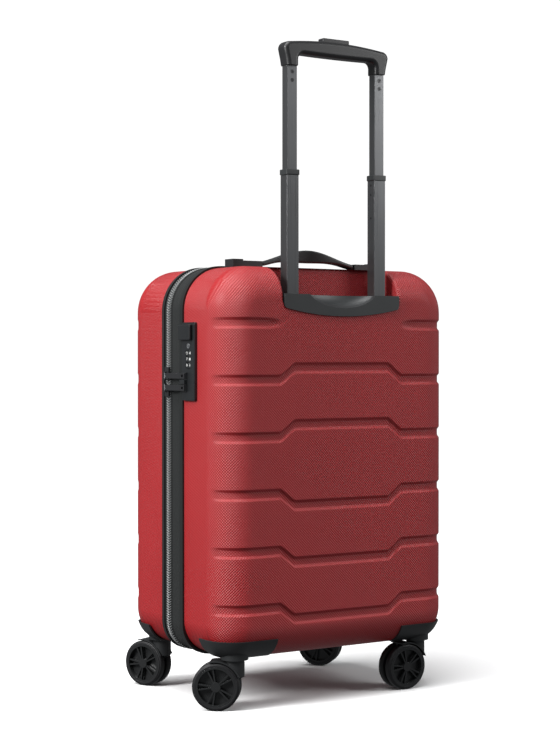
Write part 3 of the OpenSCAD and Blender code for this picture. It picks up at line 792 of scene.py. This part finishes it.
def coil(name, body, near_y, far_y, slant):
    """A row of slanted ribs from near_y, at the middle of the zip, to far_y."""
    path = outline_curve()
    length = sum(s.calc_length() for s in path.data.splines)
    count = round(length / (RIB_PITCH * MM))
    middle_y, half = (near_y + far_y) / 2, abs(near_y - far_y) / 2
    bpy.ops.mesh.primitive_cube_add(size=1, location=(0, 0, 0))
    rib = bpy.context.active_object
    rib.scale = (1.8 * MM, 1.6 * MM, 2 * half * MM)
    settle(rib)
    modify(rib, "BEVEL", width=0.5 * MM, segments=1)
    for vertex in rib.data.vertices:
        vertex.co.x += slant * vertex.co.z
        vertex.co.y += 1.35 * MM
        vertex.co.z -= middle_y * MM
    rib.matrix_world = path.matrix_world.copy()
    modify(rib, "ARRAY", count=count, use_relative_offset=False, use_constant_offset=True,
           constant_offset_displace=(length / count, 0, 0))
    modify(rib, "CURVE", object=path, deform_axis="POS_X")
    bpy.data.objects.remove(path)
    settle(rib)
    print(name, "has", count, "ribs")
    return done(smooth(rib, weighted=False), name, body, zip_coil)


zip_coil = rubber_finish("zip_coil", (0.16, 0.165, 0.165), 0.25)
coil("zip_coil_back", "root", -6.95, -1.9, 0.42)
coil("zip_coil_front", "lid", -7.05, -12.1, -0.42)

# %% [markdown]
# ## Rounding a plain part
# Many hard parts already have the right form in the frame and only lack the small radius that
# every moulded or drawn part has on its corners. A copy of the part gets its triangles merged
# back into flat faces, and a Bevel modifier then rounds every edge that is sharp enough.

# %% Copy of a part with rounded corners
def refined(node, width, segments=2, sharp=30, shade=35):
    """A copy of one of the frame's parts with its corners rounded by width, in millimetres."""
    piece = bpy.data.objects.new(node + "_fine", frame["nodes"][node].data.copy())
    scene.collection.objects.link(piece)
    with editing(piece):
        bpy.ops.mesh.select_all(action="SELECT")
        bpy.ops.mesh.remove_doubles(threshold=0.00002)
        bpy.ops.mesh.dissolve_limited(angle_limit=math.radians(1.5), use_dissolve_boundaries=False)
    modify(piece, "BEVEL", width=width * MM, segments=segments, limit_method="ANGLE",
           angle_limit=math.radians(sharp), use_clamp_overlap=True, miter_outer="MITER_ARC")
    return smooth(piece, shade)


def bodies_of():
    """The body that each of the frame's parts moves with."""
    return {node: body for body, nodes in frame["record"]["behaviour"]["bodies"].items()
            for node in nodes}


BODY_OF = bodies_of()


def stands_for(node, piece, finish, name=None):
    """Hands over a piece that stands for one part of the frame."""
    return done(piece, name or node + "_fine", BODY_OF[node], finish, [node])


def painted(nodes, finish):
    """Paints parts of the frame that are right as they are."""
    for node in nodes:
        mesh = frame["nodes"][node].data
        mesh.materials.clear()
        mesh.materials.append(finish)
    print("painted:", ", ".join(nodes))


# %% [markdown]
# ## Moulded plastic and anodised tube
# The black plastic of the handles, guards and forks comes out of a mould with a fine spark grain.
# The tubes are drawn and anodised: the drawing leaves long faint lines along them, which a noise
# stretched along the tube gives. Their edges are polished by the sliding.

# %% Plastic and metal finishes
def plastic_finish(name, colour, roughness, grain=700, depth=0.00006):
    finish = Finish(name, colour, roughness, Specular_IOR_Level=0.45)
    spark = finish.noise(grain, 3, 0.6)
    cloud = finish.noise(22, 3, 0.6)
    finish.bump(spark, depth, 0.7)
    finish.drive("Roughness", cloud * 0.12 + spark * 0.08 + (roughness - 0.1))
    finish.drive("Base Color", finish.blend_colours(cloud, tuple(c * 0.85 for c in colour),
                                                    tuple(c * 1.18 for c in colour)))
    return finish.material


def drawn_metal_finish(name, colour, roughness, metallic=0.85, along="Z"):
    finish = Finish(name, colour, roughness, metallic)
    scale = {"Z": (900, 900, 6), "X": (6, 900, 900)}[along]
    lines = finish.noise(1, 3, 0.6, finish.stretched(scale))
    cloud = finish.noise(10, 3, 0.5)
    finish.bump(lines, 0.00003, 0.5)
    finish.drive("Roughness", lines * 0.12 + cloud * 0.08 + (roughness - 0.1))
    finish.drive("Base Color", finish.blend_colours(lines, tuple(c * 0.8 for c in colour),
                                                    tuple(min(1, c * 1.15) for c in colour)))
    return finish.material


grip_plastic = plastic_finish("grip_plastic", (0.012, 0.012, 0.013), 0.4)
bezel_plastic = plastic_finish("bezel_plastic", (0.020, 0.022, 0.023), 0.42)
tube_aluminium = drawn_metal_finish("tube_aluminium", (0.13, 0.132, 0.136), 0.3)
bright_steel = drawn_metal_finish("bright_steel", (0.55, 0.56, 0.58), 0.3, 1.0)
dark_steel = drawn_metal_finish("dark_steel", (0.06, 0.06, 0.062), 0.34, 1.0)
print("plastic and metal finishes made")

# %% [markdown]
# ## Trolley handle
# Two stages of flat-sided tube slide in each other. The tubes are drawn with a small corner
# radius, and each collar is a moulded ring with a soft top edge. Small holes in the middle tubes
# show where the spring pins of the stages lock.

# %% Tubes and collars
stands_for("middle_tubes", refined("middle_tubes", 1.5, 3), tube_aluminium)
stands_for("inner_tubes", refined("inner_tubes", 1.3, 3), tube_aluminium)
stands_for("middle_collars", refined("middle_collars", 0.9, 3), bezel_plastic)
painted(["fixed_tubes"], tube_aluminium)
painted(["trolley_base"], bezel_plastic)
painted(["push_rods"], bright_steel)
painted(["grip_screws"], dark_steel)


# %% Spring pins in the inner faces of the middle tubes
def spring_pins():
    low, high = (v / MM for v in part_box("middle_tubes"))
    pins = []
    for side in (-1, 1):
        face = side * (TUBE_X - 8.7)
        for drop, radius in ((6, 1.5), (18, 1.5), (48, 1.3)):
            pin = drum((face, (low.y + high.y) / 2, high.z - drop), radius, 0.3, "X", 20)
            modify(pin, "BEVEL", width=0.1 * MM, segments=2, limit_method="ANGLE",
                   angle_limit=math.radians(30))
            pins.append(pin)
    return smooth(joined(pins), weighted=False)


done(spring_pins(), "spring_pins", "middle_stage", dark_steel)

# %% [markdown]
# ## Grip, button and bezel
# The grip is one arched bar with two flared legs and a belly. Its outline is drawn from the front,
# pushed out to its depth, and rounded along all its edges, so it is pleasant
# to hold. The button in its top slides a few millimetres, and the bezel closes the recess of the
# shell round the tubes.

# %% Grip and button
BUTTON_HALF, ROD_R = 20, 2.5


def grip_half():
    """The right half of the grip from the front: arched top, flared leg, belly for the fingers."""
    foot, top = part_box("inner_tubes")[1].z / MM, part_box("grip_body")[1].z / MM
    belly, leg_in, leg_out, inner_r, outer_r = top - 19.8, TUBE_X - 8.2, TUBE_X + 8.4, 7, 9
    half = [(x, top - 4.5 * (x / 70) ** 2) for x in range(0, 67, 6)]
    half += [(TUBE_X + 3.8 + outer_r * math.sin(math.radians(a)),
              top - 13.5 + outer_r * math.cos(math.radians(a))) for a in range(0, 91, 15)]
    half += [(leg_out + 2.9, foot + 14), (leg_out + 1.2, foot + 7), (leg_out, foot), (leg_in, foot)]
    half += [(leg_in - inner_r + inner_r * math.cos(math.radians(a)),
              belly + 0.6 - inner_r + inner_r * math.sin(math.radians(a))) for a in range(0, 91, 15)]
    return half + [(x, belly + 0.6 * (x / 50) ** 2) for x in range(48, -1, -8)]


def grip_bar():
    """The grip: its outline from the front, pushed out to its depth and rounded all along."""
    low, high = (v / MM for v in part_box("grip_body"))
    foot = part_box("inner_tubes")[1].z
    right = grip_half()
    corners = right + [(-x, z) for x, z in reversed(right) if x > 0]
    mesh = bpy.data.meshes.new("grip")
    mesh.from_pydata([(x * MM, low.y * MM, z * MM) for x, z in corners], [],
                     [range(len(corners))])
    bar = bpy.data.objects.new("grip", mesh)
    scene.collection.objects.link(bar)
    with editing(bar):
        bpy.ops.mesh.select_all(action="SELECT")
        bpy.ops.mesh.extrude_region_move(
            TRANSFORM_OT_translate={"value": (0, (high.y - low.y) * MM, 0)})
        bpy.ops.mesh.select_all(action="SELECT")
        bpy.ops.mesh.normals_make_consistent(inside=False)
        pick(bar, "edges", lambda e: abs(e.verts[0].co.y - e.verts[1].co.y) < 0.1 * MM
             and max(v.co.z for v in e.verts) > foot + 0.1 * MM)
        bpy.ops.mesh.bevel(offset=5.2 * MM, segments=5, affect="EDGES", clamp_overlap=False)
    slot_low, slot_high = (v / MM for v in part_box("grip_button"))
    cut(bar, brick((slot_low.x - 0.4, TUBE_Y - 4, slot_low.z - 4.5),
                   (slot_high.x + 0.4, TUBE_Y + 4, high.z - 8)))
    cut(bar, brick((-BUTTON_HALF - 0.3, slot_low.y - 0.3, high.z - 13.5),
                   (BUTTON_HALF + 0.3, slot_high.y + 0.3, high.z + 9)))
    for side in (-1, 1):
        cut(bar, brick((side * TUBE_X - 5.4, TUBE_Y - 4.5, low.z),
                       (side * TUBE_X + 5.4, TUBE_Y + 4.5, low.z + 26)), "UNION")
        cut(bar, drum((side * TUBE_X, TUBE_Y, low.z + 20), ROD_R + 0.5, 44, "Z", 24))
    return smooth(bar, 40)


stands_for("grip_body", grip_bar(), grip_plastic)
stands_for("grip_button", refined("grip_button", 1.6, 3), grip_plastic)


# %% [markdown]
# The bezel is a boat-shaped ledge. Its lower edge is the same arc as the recess, its ends are
# rounded, and a soft bowl is scooped out between the tubes so that fingers reach under the grip.

# %% Bezel
def bezel_ledge():
    low, high = (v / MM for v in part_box("trolley_bezel"))
    ledge = arched(brick((low.x, low.y, low.z - 1), (high.x, BACK_Y - 0.05, high.z)), ARC_R - 2.3)
    lip = arched(brick((low.x, BACK_Y - 0.04, low.z - 1), (high.x, high.y, high.z)), ARC_R)
    with editing(lip):
        pick(lip, "edges", lambda e: abs(abs(middle(e).x) - high.x) < 0.5 and middle(e).z < 500
             and abs(e.verts[0].co.y - e.verts[1].co.y) > 0.001)
        bpy.ops.mesh.bevel(offset=6 * MM, segments=6, affect="EDGES", clamp_overlap=False)
    cut(ledge, lip, "UNION")
    bpy.ops.mesh.primitive_uv_sphere_add(segments=64, ring_count=32, radius=1,
                                         location=(0, 118 * MM, (high.z + 6) * MM))
    bowl = bpy.context.active_object
    bowl.scale = (55 * MM, 22 * MM, 24 * MM)
    cut(ledge, settle(bowl))
    for side in (-1, 1):
        cut(ledge, brick((side * TUBE_X - 9.8, TUBE_Y - 8.8, 480), (side * TUBE_X + 9.8, TUBE_Y + 8.8, 520)))
    modify(ledge, "BEVEL", width=0.9 * MM, segments=3, limit_method="ANGLE",
           angle_limit=math.radians(35), use_clamp_overlap=True)
    return smooth(ledge, 38)


stands_for("trolley_bezel", bezel_ledge(), bezel_plastic)

# %% [markdown]
# ## Carry handle
# The handle on the top is a slim arched grip between two end blocks. It is soft plastic over a
# spring steel strip, with the same fine grain as the trolley grip.

# %% Carry handle
CARRY_Y = 40


def carry_grip():
    """The arched grip: a flat bar whose upper and lower faces each follow a soft wave."""
    bpy.ops.mesh.primitive_grid_add(x_subdivisions=44, y_subdivisions=2, size=1,
                                    location=(0, CARRY_Y * MM, TOP * MM))
    grip = bpy.context.active_object
    grip.scale = (142 * MM, 15.6 * MM, 1)
    settle(grip)
    with editing(grip):
        bpy.ops.mesh.select_all(action="SELECT")
        bpy.ops.mesh.extrude_region_move(TRANSFORM_OT_translate={"value": (0, 0, 10 * MM)})
        bpy.ops.mesh.select_all(action="SELECT")
        bpy.ops.mesh.normals_make_consistent(inside=False)
    for vertex in grip.data.vertices:
        x = vertex.co.x / MM
        crest = 0.5 + 0.5 * math.cos(math.pi * x / 84)
        belly = 0.5 + 0.5 * math.cos(math.pi * min(abs(x), 60) / 60)
        upper = 7.4 + 17.9 * crest
        thick = 5.4 + 10.8 * belly
        top = vertex.co.z > (TOP + 5) * MM
        vertex.co.z = (TOP + (upper if top else max(upper - thick, 1.7))) * MM
        vertex.co.y = (CARRY_Y + (vertex.co.y / MM - CARRY_Y) * (1 - 0.12 * belly)) * MM
    modify(grip, "BEVEL", width=1.9 * MM, segments=3, limit_method="ANGLE",
           angle_limit=math.radians(50), use_clamp_overlap=True)
    stems = [drum((side * 63, CARRY_Y, TOP - 5.5), 3, 15) for side in (-1, 1)]
    stems += [drum((side * 63, CARRY_Y, TOP - 15), 6, 2) for side in (-1, 1)]
    return smooth(joined([grip] + stems), 40)


stands_for("carry_handle_grip", carry_grip(), grip_plastic)


def carry_base():
    """Two end blocks, each with a lower ledge that the grip comes out of."""
    blocks = []
    for side in (-1, 1):
        ledge = brick((72, CARRY_Y - 9.8, TOP), (112, CARRY_Y + 9.8, TOP + 9.2))
        block = brick((101, CARRY_Y - 10, TOP), (116, CARRY_Y + 10, TOP + 11))
        cut(ledge, block, "UNION")
        cut(ledge, brick((60, CARRY_Y - 8.1, TOP + 1.6), (78, CARRY_Y + 8.1, TOP + 7.9)))
        for vertex in ledge.data.vertices:
            vertex.co.x *= side
        blocks.append(ledge)
        blocks.append(brick((side * 63 - 10, CARRY_Y - 8, TOP),
                            (side * 63 + 10, CARRY_Y + 8, TOP + 1.4)))
    base = joined(blocks)
    with editing(base):
        bpy.ops.mesh.select_all(action="SELECT")
        bpy.ops.mesh.normals_make_consistent(inside=False)
    modify(base, "BEVEL", width=1.5 * MM, segments=3, limit_method="ANGLE",
           angle_limit=math.radians(35), use_clamp_overlap=True)
    return smooth(base, 38)


stands_for("carry_handle_base", carry_base(), grip_plastic)

# %% [markdown]
# ## Lock and zip pulls
# The lock is a plate on the side wall. At its top is the release button, under it the key
# cylinder and three number wheels, and at its foot the two zip pulls click in. The number wheels
# are turned drums with ten finger dimples, and each dimple has its white digit.

# %% Lock plate, button and key
lock_plastic = plastic_finish("lock_plastic", (0.011, 0.012, 0.013), 0.3, 1100)
zip_metal = drawn_metal_finish("zip_metal", (0.09, 0.09, 0.095), 0.32, 0.9)
stands_for("lock_case", refined("lock_case", 0.6, 2), lock_plastic)
stands_for("lock_button", refined("lock_button", 1.2, 3), lock_plastic)
stands_for("key_cylinder", refined("key_cylinder", 0.25, 2), bright_steel)

# %% Number wheels
digit_white = Finish("digit_white", (0.8, 0.8, 0.78), 0.5)
digit_white.drive("Roughness", digit_white.noise(300, 2, 0.5) * 0.2 + 0.4)
digit_white.drive("Base Color", digit_white.blend_colours(digit_white.noise(500, 3, 0.6),
                                                          (0.62, 0.62, 0.6), (0.86, 0.86, 0.84)))


def digit(value, centre, radius, angle):
    """One raised digit on a drum that turns round the Z axis, facing outwards at an angle."""
    bpy.ops.object.text_add(location=(0, 0, 0))
    text = bpy.context.active_object
    text.data.body = str(value)
    text.data.size = 4.6 * MM
    text.data.extrude = 0.12 * MM
    text.data.align_x = "CENTER"
    text.data.align_y = "CENTER"
    text.data.resolution_u = 2
    only(text)
    bpy.ops.object.convert(target="MESH")
    text = bpy.context.active_object
    text.rotation_euler = (math.pi / 2, 0, math.pi / 2 + angle)
    text.location = (Vector(centre) + Vector((math.cos(angle), math.sin(angle), 0)) * radius) * MM
    return settle(text)


for number, shown in ((1, 3), (2, 7), (3, 0)):
    node = f"lock_dial_{number}"
    low, high = (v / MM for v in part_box(node))
    centre = (low + high) / 2
    stands_for(node, refined(node, 0.35, 2), lock_plastic)
    digits = [digit((shown + k) % 10, centre, 7.42, math.radians(36 * k)) for k in range(10)]
    done(joined(digits), f"lock_digits_{number}", f"dial_{number}",
         digit_white.material)

# %% Zip sliders and pulls
for end in ("upper", "lower"):
    stands_for(f"zip_slider_{end}", refined(f"zip_slider_{end}", 0.7, 2), zip_metal)
    stands_for(f"zip_pull_{end}", refined(f"zip_pull_{end}", 0.5, 2), zip_metal)

# %% [markdown]
# ## Casters
# Each corner has a fork that swivels under its guard and carries two slim wheels. A wheel is a
# hard rim with five pairs of spokes and a soft tyre with a stepped shoulder.

# %% Caster finishes
caster_plastic = plastic_finish("caster_plastic", (0.018, 0.019, 0.020), 0.42)
wheel_rim = plastic_finish("wheel_rim", (0.014, 0.0145, 0.015), 0.26, 900)
tyre_rubber = rubber_finish("tyre_rubber", (0.010, 0.010, 0.011), 0.5)

# %% Guards, forks and wheels
for half in ("back", "front"):
    stands_for(f"corner_guards_{half}", refined(f"corner_guards_{half}", 0.6, 2, 40, 40),
               caster_plastic)
CORNERS = ("back_lock", "back_hinge", "front_lock", "front_hinge")
for corner in CORNERS:
    stands_for(f"caster_fork_{corner}", refined(f"caster_fork_{corner}", 0.7, 2),
               caster_plastic)
    painted([f"caster_axle_{corner}"], bright_steel)
    for side in ("left", "right"):
        stands_for(f"rim_{corner}_{side}", refined(f"rim_{corner}_{side}", 0.35, 2),
                   wheel_rim)
        stands_for(f"tyre_{corner}_{side}", refined(f"tyre_{corner}_{side}", 0.3, 2),
                   tyre_rubber)


# %% [markdown]
# Behind its spokes each rim is closed by a dished web, which keeps the wheel stiff and the dirt
# out. It lies across the axle, so its place and turn come from the wheel's own joint.

# %% Webs of the wheels
def wheel_web(corner, side):
    joint = next(j for j in frame["joints"] if j["child"] == f"wheel_{corner}_{side}")
    fork = next(j for j in frame["joints"] if j["child"] == f"swivel_{corner}")
    low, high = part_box(f"rim_{corner}_{side}")
    centre = (low + high) / 2
    outwards = Vector(joint["axis"]).normalized()
    pivot = Vector(fork["pos_m"])
    if (centre - pivot).dot(outwards) < 0:
        outwards = -outwards
    bpy.ops.mesh.primitive_cylinder_add(vertices=48, radius=22.6 * MM, depth=1.2 * MM)
    web = bpy.context.active_object
    with editing(web):
        pick(web, "faces", lambda f: f.normal.z > 0.9)
        bpy.ops.mesh.inset(thickness=5 * MM, depth=0)
        bpy.ops.mesh.inset(thickness=3 * MM, depth=-0.5 * MM)
        bpy.ops.mesh.inset(thickness=9 * MM, depth=0.9 * MM)
    web.rotation_euler = outwards.to_track_quat("Z", "Y").to_euler()
    web.location = centre - outwards * 2.2 * MM
    return done(smooth(settle(web), 40), f"wheel_web_{corner}_{side}", f"wheel_{corner}_{side}",
                wheel_rim)


for corner in CORNERS:
    for side in ("left", "right"):
        wheel_web(corner, side)

# %% [markdown]
# ## Inside
# The inside shows when the case lies open: a lining in each half, a net pocket in the lid,
# crossed elastic straps with a buckle, and the fabric hinge that joins the halves. A panel is cut
# with rounded corners, lies in soft waves and has a piping sewn along its edge. The net of the
# pocket is a fabric finish with holes in it.

# %% Lining finishes
def net_finish(name, colour, pitch_mm):
    finish = Finish(name, colour, 0.8, Specular_IOR_Level=0.25)
    x, _, z = finish.axes()
    turn = math.pi / (pitch_mm * MM)
    threads = ((x + z) * turn).wave().size() * ((x - z) * turn).wave().size()
    solid = 1 - threads.above(0.42)
    finish.bump(solid * 0.5 + finish.noise(700, 2, 0.6) * 0.2, 0.0002, 0.8)
    finish.drive("Base Color", finish.blend_colours(threads, colour, tuple(c * 1.8 for c in colour)))
    finish.drive("Alpha", solid)
    return finish.material


lining_fabric = woven_finish("lining_fabric", (0.105, 0.108, 0.115), 0.8, 0.9, 0.3)
strap_webbing = woven_finish("strap_webbing", (0.020, 0.020, 0.022), 1.6)
pocket_net = net_finish("pocket_net", (0.030, 0.031, 0.033), 2.4)


# %% Fabric panels
def panel(node, top_corner, low_corner, wave):
    """A sheet of fabric in a part's place, with rounded corners and soft waves."""
    low, high = (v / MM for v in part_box(node))
    centre, half_h = (low + high) / 2, (high.z - low.z) / 2
    bpy.ops.mesh.primitive_grid_add(x_subdivisions=56, y_subdivisions=76, size=1,
                                    location=centre * MM, rotation=(math.pi / 2, 0, 0))
    sheet = bpy.context.active_object
    sheet.scale = ((high.x - low.x) * MM, 2 * half_h * MM, 1)
    settle(sheet)
    for vertex in sheet.data.vertices:
        x, z = vertex.co.x / MM, vertex.co.z / MM - centre.z
        radius = top_corner if z > 0 else low_corner
        over_x, over_z = abs(x) - (high.x - radius), abs(z) - (half_h - radius)
        margin = min(high.x - abs(x), half_h - abs(z))
        ripple = math.sin(x / 31 + 0.6 * math.sin(z / 47)) * math.sin(z / 58 + x / 90)
        if over_x > 0 and over_z > 0:
            share = 1 - max(over_x, over_z) / math.hypot(over_x, over_z)
            x -= math.copysign(over_x * share, x)
            z -= math.copysign(over_z * share, z)
        y = centre.y + wave * ripple * min(margin / 30, 1)
        vertex.co = Vector((x, y, z + centre.z)) * MM
    return sheet


def piping(sheet, radius):
    """A round binding along the edge of a panel."""
    with editing(sheet):
        bpy.ops.mesh.select_all(action="SELECT")
        bpy.ops.mesh.region_to_loop()
        bpy.ops.mesh.duplicate()
        bpy.ops.mesh.separate(type="SELECTED")
    edge = [piece for piece in bpy.context.selected_objects if piece != sheet][0]
    only(edge)
    bpy.ops.object.convert(target="CURVE")
    edge = bpy.context.active_object
    edge.data.bevel_depth = radius * MM
    edge.data.bevel_resolution = 2
    bpy.ops.object.convert(target="MESH")
    return smooth(bpy.context.active_object, 60, weighted=False)


def lined(node, finish, corners, wave):
    """A panel with its piping, in the place of one of the frame's parts."""
    sheet = panel(node, *corners, wave)
    edge = piping(sheet, 1.1)
    modify(sheet, "SOLIDIFY", thickness=0.9 * MM, offset=0)
    smooth(sheet, 60, weighted=False)
    done(edge, node + "_piping", BODY_OF[node], strap_webbing)
    done(sheet, node + "_sewn", BODY_OF[node], finish, [node])


lined("back_lining", lining_fabric, (49, 25), 0.8)
lined("front_lining", lining_fabric, (17, 5), 0.5)
lined("lid_pocket", pocket_net, (4, 20), 0.8)


# %% [markdown]
# The straps are flat elastic webbing. Each of the four runs from the buckle to a corner of the
# back half, where its end is folded back and sewn, so it is twice as thick there.

# %% Packing straps and buckle
STRAP_W, STRAP_T, BUCKLE_HALF, FOLD = 24, 1.4, 26, 26


def strap(side, end, y):
    """One strap from the buckle to a corner, as a flat band with a doubled end."""
    reach_x, reach_z = HALF_W - 22, (TOP - BOTTOM) / 2 - 62
    length, turn = math.hypot(reach_x, reach_z), math.atan2(reach_z, reach_x)
    start = BUCKLE_HALF - 8
    bpy.ops.mesh.primitive_grid_add(x_subdivisions=60, y_subdivisions=6, size=1,
                                    rotation=(math.pi / 2, 0, 0))
    band = bpy.context.active_object
    band.scale = ((length - start) * MM, (STRAP_W - 0.4) * MM, 1)
    settle(band)
    modify(band, "SOLIDIFY", thickness=(STRAP_T - 0.4) * MM, offset=0)
    for vertex in band.data.vertices:
        along, up = vertex.co.x / MM + (length + start) / 2, vertex.co.z / MM
        doubled = 1.3 if along > length - FOLD else 0.8
        across = vertex.co.y / MM * doubled
        narrow = 1 - 0.05 * math.sin(math.pi * along / length)
        up *= narrow
        vertex.co = Vector((side * (along * math.cos(turn) - up * math.sin(turn)), y + across,
                            (TOP + BOTTOM) / 2
                            + end * (along * math.sin(turn) + up * math.cos(turn)))) * MM
    return band


def straps_and_buckle():
    low, high = (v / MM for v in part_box("packing_straps"))
    y = low.y + 1.5 + STRAP_T / 2
    straps = joined([strap(side, end, y) for side in (-1, 1) for end in (-1, 1)])
    with editing(straps):
        bpy.ops.mesh.select_all(action="SELECT")
        bpy.ops.mesh.normals_make_consistent(inside=False)
    middle_z = (TOP + BOTTOM) / 2
    buckle = brick((-BUCKLE_HALF, low.y + 1.2, middle_z - 22), (BUCKLE_HALF, high.y - 1.2, middle_z + 22))
    with editing(buckle):
        pick(buckle, "edges", lambda e: abs(middle(e).x) > 20 and abs(middle(e).z - middle_z) > 20)
        bpy.ops.mesh.bevel(offset=8 * MM, segments=6, affect="EDGES")
        pick(buckle, "faces", lambda f: abs(f.normal.y) > 0.9)
        bpy.ops.mesh.inset(thickness=4 * MM, depth=0)
        bpy.ops.mesh.inset(thickness=1 * MM, depth=1.1 * MM)
    for x in (-15, 15):
        cut(buckle, brick((x - 1.5, low.y - 5, middle_z - 12), (x + 1.5, high.y + 5, middle_z + 12)))
    modify(buckle, "BEVEL", width=0.4 * MM, segments=2, limit_method="ANGLE",
           angle_limit=math.radians(30), use_clamp_overlap=True)
    return smooth(straps, 50, weighted=False), smooth(buckle, 35)


straps, buckle = straps_and_buckle()
done(straps, "packing_straps_woven", "root", strap_webbing, ["packing_straps"])
done(buckle, "strap_buckle", "root", bezel_plastic)

# %% [markdown]
# ## Fabric hinge
# The halves are joined along one side by a strip of the band's fabric. It is sewn to both halves
# and folds where the lid turns. Here it is a flat strip that rides on neither body.

# %% Fabric hinge
def hinge_strip():
    low, high = (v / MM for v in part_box("hinge_tape"))
    bpy.ops.mesh.primitive_grid_add(x_subdivisions=44, y_subdivisions=24, size=1,
                                    location=((low.x + 0.7) * MM, 3 * MM, (low.z + high.z) / 2 * MM),
                                    rotation=(0, -math.pi / 2, 0))
    strip = bpy.context.active_object
    strip.scale = ((high.z - low.z) * MM, 38 * MM, 1)
    settle(strip)
    modify(strip, "SOLIDIFY", thickness=0.9 * MM, offset=0)
    return smooth(strip, 60, weighted=False)


strip = done(hinge_strip(), "hinge_fabric", None, band_fabric)
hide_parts("hinge_tape")
low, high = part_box("hinge_tape")
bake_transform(strip)
